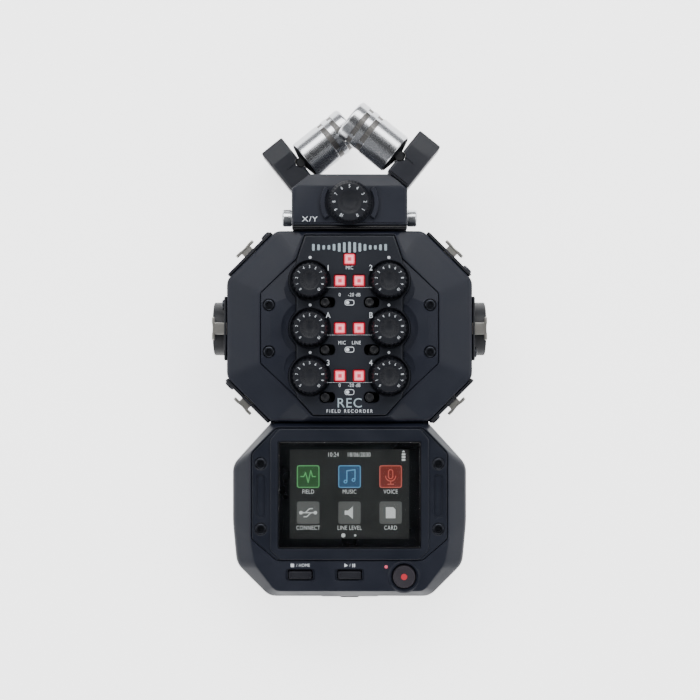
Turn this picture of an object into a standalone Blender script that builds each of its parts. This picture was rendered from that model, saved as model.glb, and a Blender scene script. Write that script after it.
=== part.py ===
"""Portable field recorder with an X/Y microphone module, modelled as separate parts.

The recorder lies on its back: +X is its right, +Y points to the microphones and +Z comes out of
its front face. All lengths are in metres. Left and right are as seen by someone facing the screen.
"""
import math

import bmesh
import bpy
from mathutils import Matrix, Vector

# ------------------------------------------------------------------ driving dimensions
SEAT_GAP = 0.0003             # between pieces that seat on each other
RUNNING_GAP = 0.0004          # round pieces that move

# heights, from the surface that the recorder lies on
FOOT_HEIGHT = 0.0012
BACK_Z = FOOT_HEIGHT + SEAT_GAP
SPLIT_Z = 0.0240              # where the rear and front housings meet
WALL_TOP_Z = 0.0365           # top of the upright walls of the control section
DECK_Z = 0.0395               # flat top of the control section's housing
SCREEN_WALL_TOP_Z = 0.0330
SCREEN_DECK_Z = 0.0390
WALL = 0.0022
FLOOR = 0.0020
BACK_CHAMFER = 0.0025
BACK_CHAMFER_HEIGHT = 0.0030

# control section: an octagon
HALF_WIDTH = 0.0516
CONTROL_TOP_Y = 0.0501
TOP_CORNER_CUT = 0.0206
NECK_Y = -0.0304              # where the control section meets the screen section
NECK_HALF_WIDTH = 0.0330
BOTTOM_CORNER_CUT = HALF_WIDTH - NECK_HALF_WIDTH
FACET_RUN = 0.0147            # from the side wall in to the edge of the wing plates

# screen section
SCREEN_HALF_WIDTH = 0.0494
SHOULDER_Y = -0.0484
HIP_Y = -0.0728
HIP_TAPER = 0.0016
END_Y = -0.1040
END_HALF_WIDTH = 0.0340
END_CORNER_CUT = SCREEN_HALF_WIDTH - HIP_TAPER - END_HALF_WIDTH

# control panel, its knobs, buttons and slide switches
KNOB_X = 0.0164
KNOB_PITCH = 0.0198
MIDDLE_ROW_Y = 0.0091
KNOB_RADIUS = 0.0077
KNOB_TOP_Z = 0.0486
KNOB_WELL_RADIUS = KNOB_RADIUS + 0.0008
KNOB_SHAFT_RADIUS = 0.0030
PANEL_LOBE_RADIUS = KNOB_WELL_RADIUS + 0.0005
PANEL_WAIST_X = 0.0222
PANEL_TOP_Y = 0.0478
PANEL_TOP_HALF = 0.0185
PANEL_BOTTOM_Y = -0.0271
PANEL_BOTTOM_HALF = 0.0152
PANEL_THICKNESS = 0.0040
PANEL_RISE = 0.0015           # how far the panel stands above the deck
PANEL_FRONT_Z = DECK_Z + PANEL_RISE
PANEL_BACK_Z = PANEL_FRONT_Z - PANEL_THICKNESS
WELL_DEPTH = 0.0024
WING_THICKNESS = 0.0022
WING_RISE = 0.0010
WING_TIP_Y = 0.0384
WING_SHOULDER_Y = 0.0238
WING_HIP_Y = -0.0054
WING_TAIL_Y = -0.0200
DECK_MARGIN = 0.0009
TRACK_BUTTON_SIZE = 0.0044
TRACK_BUTTON_X = 0.00396
MIC_BUTTON_Y = 0.0379
PAD_SWITCH_X = 0.00925
PAD_CLEARANCE = 0.0013        # from a knob's rim to the level of its slide switch
PAD_SWITCH_DROP = KNOB_RADIUS + PAD_CLEARANCE
PAD_KNOB_RADIUS = 0.00185
PAD_TRAVEL = 0.0019

# sockets round the control section
JACK_Z = 0.0210
JACK_BODY_RADIUS = 0.0105
JACK_DEPTH = 0.0120
JACK_FLANGE_WIDTH = 0.0256
JACK_FLANGE_HEIGHT = 0.0300
JACK_FLANGE_THICKNESS = 0.0012
RING_OUTER_RADIUS = 0.0093    # the gap that takes the plug's shell
RING_INNER_RADIUS = 0.0080
RING_DEPTH = 0.0100
COLLAR_RADIUS = 0.0114
COLLAR_HEIGHT = 0.0064
COMBO_FLANGE_WIDTH = 0.0270
COMBO_FLANGE_THICKNESS = 0.00085
PHONE_BORE_RADIUS = 0.0033    # takes a 6.35 mm plug
LATCH_CLEARANCE = 0.0025      # from the socket's body up to the middle of the latch
LATCH_Z = JACK_Z + JACK_BODY_RADIUS + LATCH_CLEARANCE
LATCH_STEM = (0.0050, 0.0020)
LATCH_PLATE = (0.0098, 0.0028, 0.0012)
LATCH_REACH = 0.0046          # out from the wall

# screen and transport buttons
GLASS_HALF_WIDTH = 0.0295
GLASS_TOP_Y = -0.0385
GLASS_BOTTOM_Y = -0.0826
GLASS_THICKNESS = 0.0014
FRAME_HALF_WIDTH = 0.0407
FRAME_NECK_HALF = 0.0305
FRAME_TOP_Y = -0.0328
FRAME_SHOULDER_Y = -0.0432
FRAME_HIP_Y = -0.0790
FRAME_BOTTOM_Y = -0.0877
FRAME_THICKNESS = 0.0027
FRAME_RISE = 0.0010
KEY_SIZE = (0.0096, 0.0032)
KEY_Y = -0.0940
STOP_KEY_X = -0.0206
KEY_PROUD = 0.0009
RECORD_CENTRE = (0.0228, -0.0947)
RECORD_RADIUS = 0.00475

# back, edges and inside
CELL_RADIUS = 0.00725         # AA size
CELL_LENGTH = 0.0505
COVER_HALF_WIDTH = 0.0310
COVER_THICKNESS = 0.0018
CARD_DOOR_SIZE = (0.0250, 0.0021, 0.0120)
CARD_DOOR_Z = 0.0080
WHEEL_RADIUS = 0.0060
WHEEL_PROUD = 0.0008
WHEEL_Y = -0.0660
EDGE_CONTROL_Z = 0.0165       # height of the wheel and the power switch
TRIPOD_RADIUS = 0.0032        # 1/4 inch thread
TRIPOD_DEPTH = 0.0090
TRIPOD_Y = -0.0040

# microphone module
MODULE_GAP = 0.0004
MODULE_BASE_Y = CONTROL_TOP_Y + MODULE_GAP
MODULE_HALF_WIDTH = 0.0242
MODULE_TOP_Y = 0.0736
MODULE_SHOULDER_Y = 0.0676
MODULE_SHOULDER_X = 0.0167
MODULE_BACK_Z = 0.0050
MODULE_FRONT_Z = 0.0400
MODULE_WALL = 0.0042
MODULE_BASE_WALL = 0.0012
TONGUE_SIZE = (0.0254, 0.0100, 0.0080)
TONGUE_Z = 0.0210
DIAL_Y = 0.0614
DIAL_RADIUS = 0.0092
DIAL_TOP_Z = 0.0452
DIAL_SHAFT_RADIUS = 0.0030
GUARD_RADIUS = 0.0122
GUARD_HALF_HEIGHT = 0.0060
RELEASE_Y = 0.0567
RELEASE_Z = 0.0220
RELEASE_RADIUS = 0.00365
RELEASE_PROUD = 0.0047
ARM_WIDTH = 0.0111
ARM_THICKNESS = 0.0156
ARM_LEAN = math.radians(51.3)  # from the X axis
ARM_PAST_PIVOT = 0.0135
MIC_PIVOT = (0.0210, 0.0813)
MIC_STANDOFF = 0.0021          # from the pivot to the back of the microphone's barrel
MIC_RADIUS = 0.0089
MIC_LENGTH = 0.0245
LEFT_MIC_Z = 0.0126
RIGHT_MIC_Z = 0.0324
KNUCKLE_RADIUS = 0.0022

# ------------------------------------------------------------------ scene and tools
for old in list(bpy.data.objects):
    bpy.data.objects.remove(old)

PARTS = bpy.data.collections.new("field_recorder")
CUTTERS = bpy.data.collections.new("cutters")
bpy.context.scene.collection.children.link(PARTS)
bpy.context.scene.collection.children.link(CUTTERS)

ORIGIN = bpy.data.objects.new("recorder_origin", None)
PARTS.objects.link(ORIGIN)


def new_object(name, mesh, place=Matrix()):
    """Link a mesh to the scene as a helper; finish_part moves it to the parts."""
    solid = bpy.data.objects.new(name, mesh)
    CUTTERS.objects.link(solid)
    solid.parent = ORIGIN
    solid.matrix_local = place
    solid.hide_render = True
    solid.display_type = "WIRE"
    return solid


def mesh_from(bm, name):
    mesh = bpy.data.meshes.new(name)
    bmesh.ops.recalc_face_normals(bm, faces=bm.faces)
    bm.to_mesh(mesh)
    bm.free()
    mesh.shade_smooth()
    mesh.set_sharp_from_angle(angle=math.radians(35))
    return mesh


def block(name, size, centre, place=Matrix(), bevel=0.0):
    """A box, with its edges cut off by a bevel where one is given."""
    bm = bmesh.new()
    bmesh.ops.create_cube(bm, size=1.0, matrix=Matrix.LocRotScale(Vector(centre), None, Vector(size)))
    solid = new_object(name, mesh_from(bm, name), place)
    if bevel:
        edge = solid.modifiers.new("edges", "BEVEL")
        edge.width = bevel
        edge.segments = 1
    return solid


def cylinder(name, radius, low, high, place=Matrix(), sides=20):
    """A round bar along its own Z axis."""
    bm = bmesh.new()
    middle = Matrix.Translation((0, 0, (low + high) / 2))
    bmesh.ops.create_cone(bm, cap_ends=True, segments=sides, radius1=radius, radius2=radius,
                          depth=high - low, matrix=middle)
    return new_object(name, mesh_from(bm, name), place)


def turned(name, profile, place=Matrix(), steps=24):
    """Turn a profile of (radius, height) points, from the top of the axis to its foot."""
    bm = bmesh.new()
    points = [bm.verts.new((radius, 0, height)) for radius, height in profile]
    for start, end in zip(points, points[1:]):
        bm.edges.new((start, end))
    mesh = bpy.data.meshes.new(name)
    bm.to_mesh(mesh)
    bm.free()
    solid = new_object(name, mesh, place)
    screw = solid.modifiers.new("turn", "SCREW")
    screw.steps = steps
    screw.render_steps = steps
    screw.use_merge_vertices = True
    screw.merge_threshold = 0.00001
    screw.use_smooth_shade = True
    return solid


def outline_solid(name, points, low, high):
    """A flat outline made solid between two heights."""
    curve = bpy.data.curves.new(name, "CURVE")
    curve.dimensions = "2D"
    curve.fill_mode = "BOTH"
    curve.extrude = (high - low) / 2
    spline = curve.splines.new("POLY")
    spline.points.add(len(points) - 1)
    for point, (x, y) in zip(spline.points, points):
        point.co = (x, y, 0, 1)
    spline.use_cyclic_u = True
    drawn = bpy.data.objects.new(name + "_outline", curve)
    drawn.location.z = (low + high) / 2
    CUTTERS.objects.link(drawn)
    bpy.context.view_layer.update()
    seen = drawn.evaluated_get(bpy.context.evaluated_depsgraph_get())
    drawn_mesh = bpy.data.meshes.new_from_object(seen)
    bm = bmesh.new()
    bm.from_mesh(drawn_mesh)
    bmesh.ops.remove_doubles(bm, verts=bm.verts, dist=0.000001)
    place = drawn.matrix_world.copy()
    bpy.data.objects.remove(drawn)
    bpy.data.meshes.remove(drawn_mesh)
    return new_object(name, mesh_from(bm, name), place)


def loft(name, rings):
    """A solid through closed outlines with the same number of points, each at its height."""
    bm = bmesh.new()
    levels = [[bm.verts.new((x, y, z)) for x, y in points] for points, z in rings]
    for lower, upper in zip(levels, levels[1:]):
        for i in range(len(lower)):
            bm.faces.new((lower[i - 1], lower[i], upper[i], upper[i - 1]))
    bm.faces.new(reversed(levels[0]))
    bm.faces.new(levels[-1])
    return new_object(name, mesh_from(bm, name))


def combine(solid, tool, operation):
    boolean = solid.modifiers.new(operation.lower(), "BOOLEAN")
    boolean.operation = operation
    boolean.object = tool


def cut(solid, *tools):
    for tool in tools:
        combine(solid, tool, "DIFFERENCE")


def join(solid, *tools):
    for tool in tools:
        combine(solid, tool, "UNION")


def finish_part(solid, name, colour, roughness=0.5, metallic=0.0):
    """Give a solid its node name and material, and show it as a part."""
    material = bpy.data.materials.new(name)
    material.use_nodes = True
    shader = material.node_tree.nodes["Principled BSDF"]
    shader.inputs["Base Color"].default_value = (*colour, 1.0)
    shader.inputs["Roughness"].default_value = roughness
    shader.inputs["Metallic"].default_value = metallic
    solid.data.materials.append(material)
    solid.name = name
    CUTTERS.objects.unlink(solid)
    PARTS.objects.link(solid)
    solid.hide_render = False
    solid.display_type = "TEXTURED"
    return solid


def mirrored(right_side):
    """Close an outline from its right side, listed from the bottom up."""
    return right_side + [(-x, y) for x, y in reversed(right_side)]


def inset(points, distance):
    """Move every edge of a counter-clockwise outline inwards."""
    moved = []
    for i, point in enumerate(points):
        here = Vector(point)
        before = (here - Vector(points[i - 1])).normalized()
        after = (Vector(points[(i + 1) % len(points)]) - here).normalized()
        normal_before = Vector((-before.y, before.x))
        normal_after = Vector((-after.y, after.x))
        shift = distance / (1.0 + normal_before.dot(normal_after))
        moved.append(tuple(here + (normal_before + normal_after) * shift))
    return moved


def face_place(x, y, angle, height):
    """A frame on an upright wall: X along the wall, Y up, Z out of the wall."""
    out = Vector((math.cos(angle), math.sin(angle), 0))
    along = Vector((-math.sin(angle), math.cos(angle), 0))
    turn = Matrix((along, Vector((0, 0, 1)), out)).transposed().to_4x4()
    return Matrix.Translation((x, y, height)) @ turn


SLATE = (0.022, 0.026, 0.036)
DARK_SLATE = (0.012, 0.014, 0.019)
RUBBER = (0.010, 0.010, 0.012)
NICKEL = (0.62, 0.59, 0.52)
SILVER = (0.78, 0.78, 0.80)

# ------------------------------------------------------------------ outlines
KNOB_ROWS = [MIDDLE_ROW_Y + KNOB_PITCH, MIDDLE_ROW_Y, MIDDLE_ROW_Y - KNOB_PITCH]
WING_EDGE_X = HALF_WIDTH - FACET_RUN
WING_TIP_X = PANEL_WAIST_X - SEAT_GAP

SCREEN_RIGHT = [
    (END_HALF_WIDTH, END_Y),
    (END_HALF_WIDTH + END_CORNER_CUT, END_Y + END_CORNER_CUT),
    (SCREEN_HALF_WIDTH, HIP_Y),
    (SCREEN_HALF_WIDTH, SHOULDER_Y),
]
CONTROL_RIGHT = [
    (HALF_WIDTH, NECK_Y + BOTTOM_CORNER_CUT),
    (HALF_WIDTH, CONTROL_TOP_Y - TOP_CORNER_CUT),
    (HALF_WIDTH - TOP_CORNER_CUT, CONTROL_TOP_Y),
]
BODY_OUTLINE = mirrored(SCREEN_RIGHT + [(NECK_HALF_WIDTH, NECK_Y)] + CONTROL_RIGHT)
WING_RIGHT = [
    (WING_TIP_X, WING_TAIL_Y),
    (WING_EDGE_X, WING_HIP_Y),
    (WING_EDGE_X, WING_SHOULDER_Y),
    (WING_TIP_X, WING_TIP_Y),
]
FRAME_OUTLINE = mirrored([
    (FRAME_NECK_HALF, FRAME_BOTTOM_Y),
    (FRAME_HALF_WIDTH, FRAME_HIP_Y),
    (FRAME_HALF_WIDTH, FRAME_SHOULDER_Y),
    (FRAME_NECK_HALF, FRAME_TOP_Y),
])


def panel_outline():
    """The button strip: straight at the waist, swelling round each knob well."""
    right_side = [(PANEL_BOTTOM_HALF, PANEL_BOTTOM_Y), (WING_TIP_X, WING_TAIL_Y)]
    reach = math.acos((PANEL_WAIST_X - KNOB_X) / PANEL_LOBE_RADIUS)
    for row in reversed(KNOB_ROWS):
        for step in range(7):
            angle = -reach + 2 * reach * step / 6
            right_side.append((KNOB_X + PANEL_LOBE_RADIUS * math.cos(angle),
                               row + PANEL_LOBE_RADIUS * math.sin(angle)))
    right_side += [(WING_TIP_X, WING_TIP_Y), (PANEL_TOP_HALF, PANEL_TOP_Y)]
    return mirrored(right_side)


def jack_faces():
    """Each socket's wall: the middle of its face and the way the face looks."""
    top = (HALF_WIDTH - TOP_CORNER_CUT / 2, CONTROL_TOP_Y - TOP_CORNER_CUT / 2)
    bottom = (HALF_WIDTH - BOTTOM_CORNER_CUT / 2, NECK_Y + BOTTOM_CORNER_CUT / 2)
    side = (HALF_WIDTH, MIDDLE_ROW_Y)
    faces = {}
    for name, (x, y), degrees in (("2", top, 45), ("b", side, 0), ("4", bottom, -45)):
        faces[name] = face_place(x, y, math.radians(degrees), JACK_Z)
    for name, (x, y), degrees in (("1", top, 135), ("a", side, 180), ("3", bottom, 225)):
        faces[name] = face_place(-x, y, math.radians(degrees), JACK_Z)
    return faces


JACK_FACES = jack_faces()
LATCH_RISE = LATCH_Z - JACK_Z

# ------------------------------------------------------------------ housings
# Rear housing: a tub as deep as the split, open at the front.
rear = loft("rear", [
    (inset(BODY_OUTLINE, BACK_CHAMFER), BACK_Z),
    (BODY_OUTLINE, BACK_Z + BACK_CHAMFER_HEIGHT),
    (BODY_OUTLINE, SPLIT_Z),
])
tub = loft("tub", [
    (inset(BODY_OUTLINE, WALL + BACK_CHAMFER / 2), BACK_Z + FLOOR),
    (inset(BODY_OUTLINE, WALL), BACK_Z + FLOOR + BACK_CHAMFER_HEIGHT / 2),
    (inset(BODY_OUTLINE, WALL), SPLIT_Z + WALL),
])
cut(rear, tub)

TRIPOD_BOSS_RADIUS = 2 * TRIPOD_RADIUS
boss = cylinder("tripod_boss", TRIPOD_BOSS_RADIUS, BACK_Z, BACK_Z + TRIPOD_DEPTH + FLOOR,
                Matrix.Translation((0, TRIPOD_Y, 0)))
bore = cylinder("tripod_bore", TRIPOD_RADIUS, 0, BACK_Z + TRIPOD_DEPTH,
                Matrix.Translation((0, TRIPOD_Y, 0)))
join(rear, boss)

BOARD_HALF_WIDTH = 0.0240
BOARD_Y = (-0.0260, 0.0340)
BOARD_Z = (0.0270, 0.0286)
POST_RADIUS = 0.0020
for post_x in (-1, 1):
    for post_y in (BOARD_Y[0] + 2 * POST_RADIUS, BOARD_Y[1] - 2 * POST_RADIUS):
        post_place = Matrix.Translation((post_x * (BOARD_HALF_WIDTH - 2 * POST_RADIUS), post_y, 0))
        join(rear, cylinder("post", POST_RADIUS, BACK_Z + FLOOR / 2, BOARD_Z[0] - SEAT_GAP,
                            post_place, sides=10))
cut(rear, bore)

# The tub is cut away where the battery cover slides in from the end.
COVER_TOP_Y = -0.0360
cover_mouth = block("cover_mouth",
                    (2 * (COVER_HALF_WIDTH + RUNNING_GAP), COVER_TOP_Y - END_Y + FLOOR,
                     BACK_Z + COVER_THICKNESS + RUNNING_GAP),
                    (0, (COVER_TOP_Y + END_Y - FLOOR) / 2 + RUNNING_GAP,
                     (BACK_Z + COVER_THICKNESS + RUNNING_GAP) / 2))
floor_window = block("floor_window",
                     (2 * (COVER_HALF_WIDTH - WALL), COVER_TOP_Y - END_Y - 4 * WALL, 3 * FLOOR),
                     (0, (COVER_TOP_Y + END_Y) / 2, BACK_Z + FLOOR))
cut(rear, cover_mouth, floor_window)

# Slots for the memory card, the wheel and the power switch.
CARD_SLOT = (0.0244, 0.0028)
card_slot = block("card_slot", (CARD_SLOT[0], 4 * WALL, CARD_SLOT[1]),
                  (0, END_Y, CARD_DOOR_Z + CARD_DOOR_SIZE[2] / 2))
WHEEL_X = -(SCREEN_HALF_WIDTH + WHEEL_PROUD - WHEEL_RADIUS)
WHEEL_THICKNESS = 0.0024
wheel_half_slot = math.sqrt(WHEEL_RADIUS ** 2 - (SCREEN_HALF_WIDTH - WALL + WHEEL_X) ** 2)
wheel_slot = block("wheel_slot",
                   (3 * WALL, 2 * (wheel_half_slot + 2 * RUNNING_GAP),
                    WHEEL_THICKNESS + 2 * RUNNING_GAP),
                   (-SCREEN_HALF_WIDTH, WHEEL_Y, EDGE_CONTROL_Z))
SLIDER_SIZE = (0.0060, 0.0030)
SLIDER_TRAVEL = 0.0030
end_corner = face_place(END_HALF_WIDTH + END_CORNER_CUT / 2, END_Y + END_CORNER_CUT / 2,
                        math.radians(-45), EDGE_CONTROL_Z)
slider_slot = block("slider_slot",
                    (SLIDER_SIZE[0] + SLIDER_TRAVEL + 2 * RUNNING_GAP,
                     SLIDER_SIZE[1] + 2 * RUNNING_GAP, 3 * WALL), (0, 0, 0), end_corner)
cut(rear, card_slot, wheel_slot, slider_slot)

# Upper front housing: upright walls, then facets rising to the deck.
CONTROL_OUTLINE = mirrored(
    [(PANEL_TOP_HALF, NECK_Y + SEAT_GAP), (NECK_HALF_WIDTH, NECK_Y + SEAT_GAP)]
    + CONTROL_RIGHT + [(PANEL_TOP_HALF + 2 * DECK_MARGIN, CONTROL_TOP_Y)])
DECK_OUTLINE = mirrored([
    (PANEL_BOTTOM_HALF + DECK_MARGIN, PANEL_BOTTOM_Y - DECK_MARGIN),
    (WING_TIP_X + DECK_MARGIN, WING_TAIL_Y - DECK_MARGIN),
    (WING_EDGE_X + DECK_MARGIN, WING_HIP_Y),
    (WING_EDGE_X + DECK_MARGIN, WING_SHOULDER_Y),
    (WING_TIP_X + DECK_MARGIN, WING_TIP_Y + DECK_MARGIN),
    (PANEL_TOP_HALF + DECK_MARGIN, PANEL_TOP_Y + DECK_MARGIN),
])
upper = loft("upper", [
    (CONTROL_OUTLINE, SPLIT_Z + SEAT_GAP),
    (CONTROL_OUTLINE, WALL_TOP_Z),
    (DECK_OUTLINE, DECK_Z),
])
DECK_UNDERSIDE_Z = PANEL_BACK_Z - SEAT_GAP - 0.0016
cut(upper, loft("upper_hollow", [
    (inset(CONTROL_OUTLINE, WALL), SPLIT_Z - WALL),
    (inset(CONTROL_OUTLINE, WALL), DECK_UNDERSIDE_Z),
]))
PANEL_OUTLINE = panel_outline()
panel_recess = outline_solid("panel_recess", inset(PANEL_OUTLINE, -SEAT_GAP),
                             PANEL_BACK_Z - SEAT_GAP, PANEL_FRONT_Z + WALL)
WING_BACK_Z = DECK_Z + WING_RISE - WING_THICKNESS
wing_recess = outline_solid("wing_recess", inset(mirrored(WING_RIGHT), -SEAT_GAP),
                            WING_BACK_Z - SEAT_GAP, PANEL_FRONT_Z + WALL)
# Under the panel the deck is open, from the lowest slide switches to the top track button.
window_top_y = MIC_BUTTON_Y + TRACK_BUTTON_SIZE
window_bottom_y = KNOB_ROWS[2] - PAD_SWITCH_DROP - 2 * PAD_KNOB_RADIUS
shaft_window = block("shaft_window",
                     (2 * (KNOB_X + KNOB_SHAFT_RADIUS + 3 * RUNNING_GAP),
                      window_top_y - window_bottom_y, 4 * WALL),
                     (0, (window_top_y + window_bottom_y) / 2, DECK_UNDERSIDE_Z))
cut(upper, panel_recess, wing_recess, shaft_window)

# Every socket passes through both housings; its latch has a slot in the upper one.
for name, place in JACK_FACES.items():
    hole = cylinder("hole_" + name, JACK_BODY_RADIUS + RUNNING_GAP, -3 * WALL, WALL, place, sides=24)
    cut(rear, hole)
    latch_slot = block("latch_slot_" + name,
                       (LATCH_STEM[0] + 2 * RUNNING_GAP, LATCH_STEM[1] + 2 * RUNNING_GAP, 6 * WALL),
                       (0, LATCH_RISE, 0), place)
    cut(upper, hole, latch_slot)

# The dock for the microphone module looks out through the top wall of both housings.
DOCK_WALL = 0.0032
DOCK_DEPTH = 0.0133
dock_size = (TONGUE_SIZE[0] + 2 * DOCK_WALL, DOCK_DEPTH, TONGUE_SIZE[2] + 2 * DOCK_WALL)
dock_mouth = block("dock_mouth", (dock_size[0] + 2 * SEAT_GAP, 4 * WALL, dock_size[2] + 2 * SEAT_GAP),
                   (0, CONTROL_TOP_Y, TONGUE_Z))
cut(rear, dock_mouth)
cut(upper, dock_mouth)

finish_part(rear, "rear_housing", SLATE)
finish_part(upper, "upper_front_housing", SLATE)

# Lower front housing: the bezel round the screen, and the strip with the transport keys.
SCREEN_OUTLINE = mirrored(SCREEN_RIGHT + [(NECK_HALF_WIDTH, NECK_Y)])
SCREEN_DECK_OUTLINE = mirrored([
    (END_HALF_WIDTH - 0.0030, END_Y + 0.0032),
    (FRAME_HALF_WIDTH - DECK_MARGIN, END_Y + END_CORNER_CUT + DECK_MARGIN),
    (FRAME_HALF_WIDTH + DECK_MARGIN, FRAME_HIP_Y),
    (FRAME_HALF_WIDTH + DECK_MARGIN, FRAME_SHOULDER_Y + DECK_MARGIN / 2),
    (FRAME_NECK_HALF + DECK_MARGIN / 2, FRAME_TOP_Y + DECK_MARGIN),
])
lower = loft("lower", [
    (SCREEN_OUTLINE, SPLIT_Z + SEAT_GAP),
    (SCREEN_OUTLINE, SCREEN_WALL_TOP_Z),
    (SCREEN_DECK_OUTLINE, SCREEN_DECK_Z),
])
SCREEN_UNDERSIDE_Z = SCREEN_DECK_Z - 0.0040
cut(lower, loft("lower_hollow", [
    (inset(SCREEN_OUTLINE, WALL), SPLIT_Z - WALL),
    (inset(SCREEN_OUTLINE, WALL), SCREEN_WALL_TOP_Z - WALL),
    (inset(SCREEN_DECK_OUTLINE, WALL), SCREEN_UNDERSIDE_Z),
]))
FRAME_FRONT_Z = SCREEN_DECK_Z + FRAME_RISE
FRAME_BACK_Z = FRAME_FRONT_Z - FRAME_THICKNESS
cut(lower, outline_solid("frame_recess", inset(FRAME_OUTLINE, -SEAT_GAP),
                         FRAME_BACK_Z - SEAT_GAP, FRAME_FRONT_Z + WALL))
GLASS_MIDDLE_Y = (GLASS_TOP_Y + GLASS_BOTTOM_Y) / 2
GLASS_HEIGHT = GLASS_TOP_Y - GLASS_BOTTOM_Y
DISPLAY_MARGIN = 0.0021
display_size = (2 * (GLASS_HALF_WIDTH - DISPLAY_MARGIN), GLASS_HEIGHT - 2 * DISPLAY_MARGIN, 0.0036)
cut(lower, block("display_window",
                 (display_size[0] + 2 * SEAT_GAP, display_size[1] + 2 * SEAT_GAP, 4 * WALL),
                 (0, GLASS_MIDDLE_Y, SCREEN_UNDERSIDE_Z)))
KEY_X = {"stop_button": STOP_KEY_X, "play_button": 0.0}
for name, key_x in KEY_X.items():
    cut(lower, block(name + "_hole", (KEY_SIZE[0] + 2 * RUNNING_GAP, KEY_SIZE[1] + 2 * RUNNING_GAP,
                                      6 * WALL), (key_x, KEY_Y, SCREEN_DECK_Z)))
record_place = Matrix.Translation((*RECORD_CENTRE, 0))
KEY_LIP = 0.0008              # a lip under the deck keeps each key in
cut(lower,
    cylinder("record_hole", RECORD_RADIUS + RUNNING_GAP, SCREEN_UNDERSIDE_Z - WALL,
             SCREEN_DECK_Z + WALL, record_place, sides=24),
    cylinder("record_pocket", RECORD_RADIUS + KEY_LIP + RUNNING_GAP, SCREEN_WALL_TOP_Z - WALL,
             SCREEN_UNDERSIDE_Z, record_place, sides=24))
finish_part(lower, "lower_front_housing", SLATE)

# ------------------------------------------------------------------ control panel and wings
panel = outline_solid("panel", PANEL_OUTLINE, PANEL_BACK_Z, PANEL_FRONT_Z)
KNOBS = {
    "1": (-KNOB_X, KNOB_ROWS[0]), "2": (KNOB_X, KNOB_ROWS[0]),
    "a": (-KNOB_X, KNOB_ROWS[1]), "b": (KNOB_X, KNOB_ROWS[1]),
    "3": (-KNOB_X, KNOB_ROWS[2]), "4": (KNOB_X, KNOB_ROWS[2]),
}
for name, (x, y) in KNOBS.items():
    side = math.copysign(1, x)
    place = Matrix.Translation((x, y, 0))
    cut(panel,
        cylinder("well_" + name, KNOB_WELL_RADIUS, PANEL_FRONT_Z - WELL_DEPTH,
                 PANEL_FRONT_Z + WALL, place, sides=28),
        cylinder("shaft_hole_" + name, KNOB_SHAFT_RADIUS + RUNNING_GAP, PANEL_BACK_Z - WALL,
                 PANEL_FRONT_Z, place, sides=16),
        block("pad_slot_" + name,
              (2 * (PAD_KNOB_RADIUS + RUNNING_GAP) + PAD_TRAVEL,
               2 * (PAD_KNOB_RADIUS + RUNNING_GAP), 4 * WALL),
              (side * PAD_SWITCH_X, y - PAD_SWITCH_DROP, PANEL_FRONT_Z)))

TRACK_BUTTONS = {"mic": (0, MIC_BUTTON_Y)}
for name, (x, y) in KNOBS.items():
    TRACK_BUTTONS[name] = (math.copysign(TRACK_BUTTON_X, x), y)
for name, (x, y) in TRACK_BUTTONS.items():
    opening = TRACK_BUTTON_SIZE + 2 * RUNNING_GAP
    cut(panel, block("button_hole_" + name, (opening, opening, 4 * WALL), (x, y, PANEL_FRONT_Z)))
finish_part(panel, "control_panel", DARK_SLATE)

WING_SCREW_X = WING_EDGE_X - 0.0032
WING_SCREW_HALF_PITCH = 0.0098
WING_SCREW_RADIUS = 0.0026
wing_trim = outline_solid("wing_trim", inset(PANEL_OUTLINE, -SEAT_GAP), PANEL_BACK_Z - WALL,
                          PANEL_FRONT_Z + WALL)
for side, name in ((-1, "left_wing_plate"), (1, "right_wing_plate")):
    outline = [(side * x, y) for x, y in WING_RIGHT]
    wing = outline_solid(name + "_blank", outline, WING_BACK_Z, DECK_Z + WING_RISE)
    cut(wing, wing_trim)
    for step in (-1, 1):
        cut(wing, cylinder(name + "_screw_seat", WING_SCREW_RADIUS, DECK_Z, DECK_Z + WALL,
                           Matrix.Translation((side * WING_SCREW_X,
                                               MIDDLE_ROW_Y + step * WING_SCREW_HALF_PITCH, 0)),
                           sides=16))
    finish_part(wing, name, SLATE)

# ------------------------------------------------------------------ screen
glass_outline_half = GLASS_HALF_WIDTH + SEAT_GAP
frame = outline_solid("frame", FRAME_OUTLINE, FRAME_BACK_Z, FRAME_FRONT_Z)
cut(frame, block("glass_window", (2 * glass_outline_half, GLASS_HEIGHT + 2 * SEAT_GAP, 4 * WALL),
                 (0, GLASS_MIDDLE_Y, FRAME_FRONT_Z)))
FRAME_SCREW_X = FRAME_HALF_WIDTH - 0.0035
FRAME_SCREW_Y = (FRAME_SHOULDER_Y - 0.0042, FRAME_HIP_Y + 0.0042)
for side in (-1, 1):
    for screw_y in FRAME_SCREW_Y:
        cut(frame, cylinder("frame_screw_seat", WING_SCREW_RADIUS, FRAME_FRONT_Z - 0.0012,
                            FRAME_FRONT_Z + WALL,
                            Matrix.Translation((side * FRAME_SCREW_X, screw_y, 0)), sides=16))
finish_part(frame, "screen_frame", SLATE)

GLASS_FRONT_Z = FRAME_FRONT_Z - 0.0002
glass_back_z = GLASS_FRONT_Z - GLASS_THICKNESS
glass = block("glass", (2 * GLASS_HALF_WIDTH, GLASS_HEIGHT, GLASS_THICKNESS),
              (0, GLASS_MIDDLE_Y, GLASS_FRONT_Z - GLASS_THICKNESS / 2), bevel=0.0002)
finish_part(glass, "touch_glass", (0.004, 0.004, 0.005), roughness=0.05)
display = block("display", display_size,
                (0, GLASS_MIDDLE_Y, glass_back_z - SEAT_GAP - display_size[2] / 2))
finish_part(display, "display_panel", (0.05, 0.05, 0.05), roughness=0.3)

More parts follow.
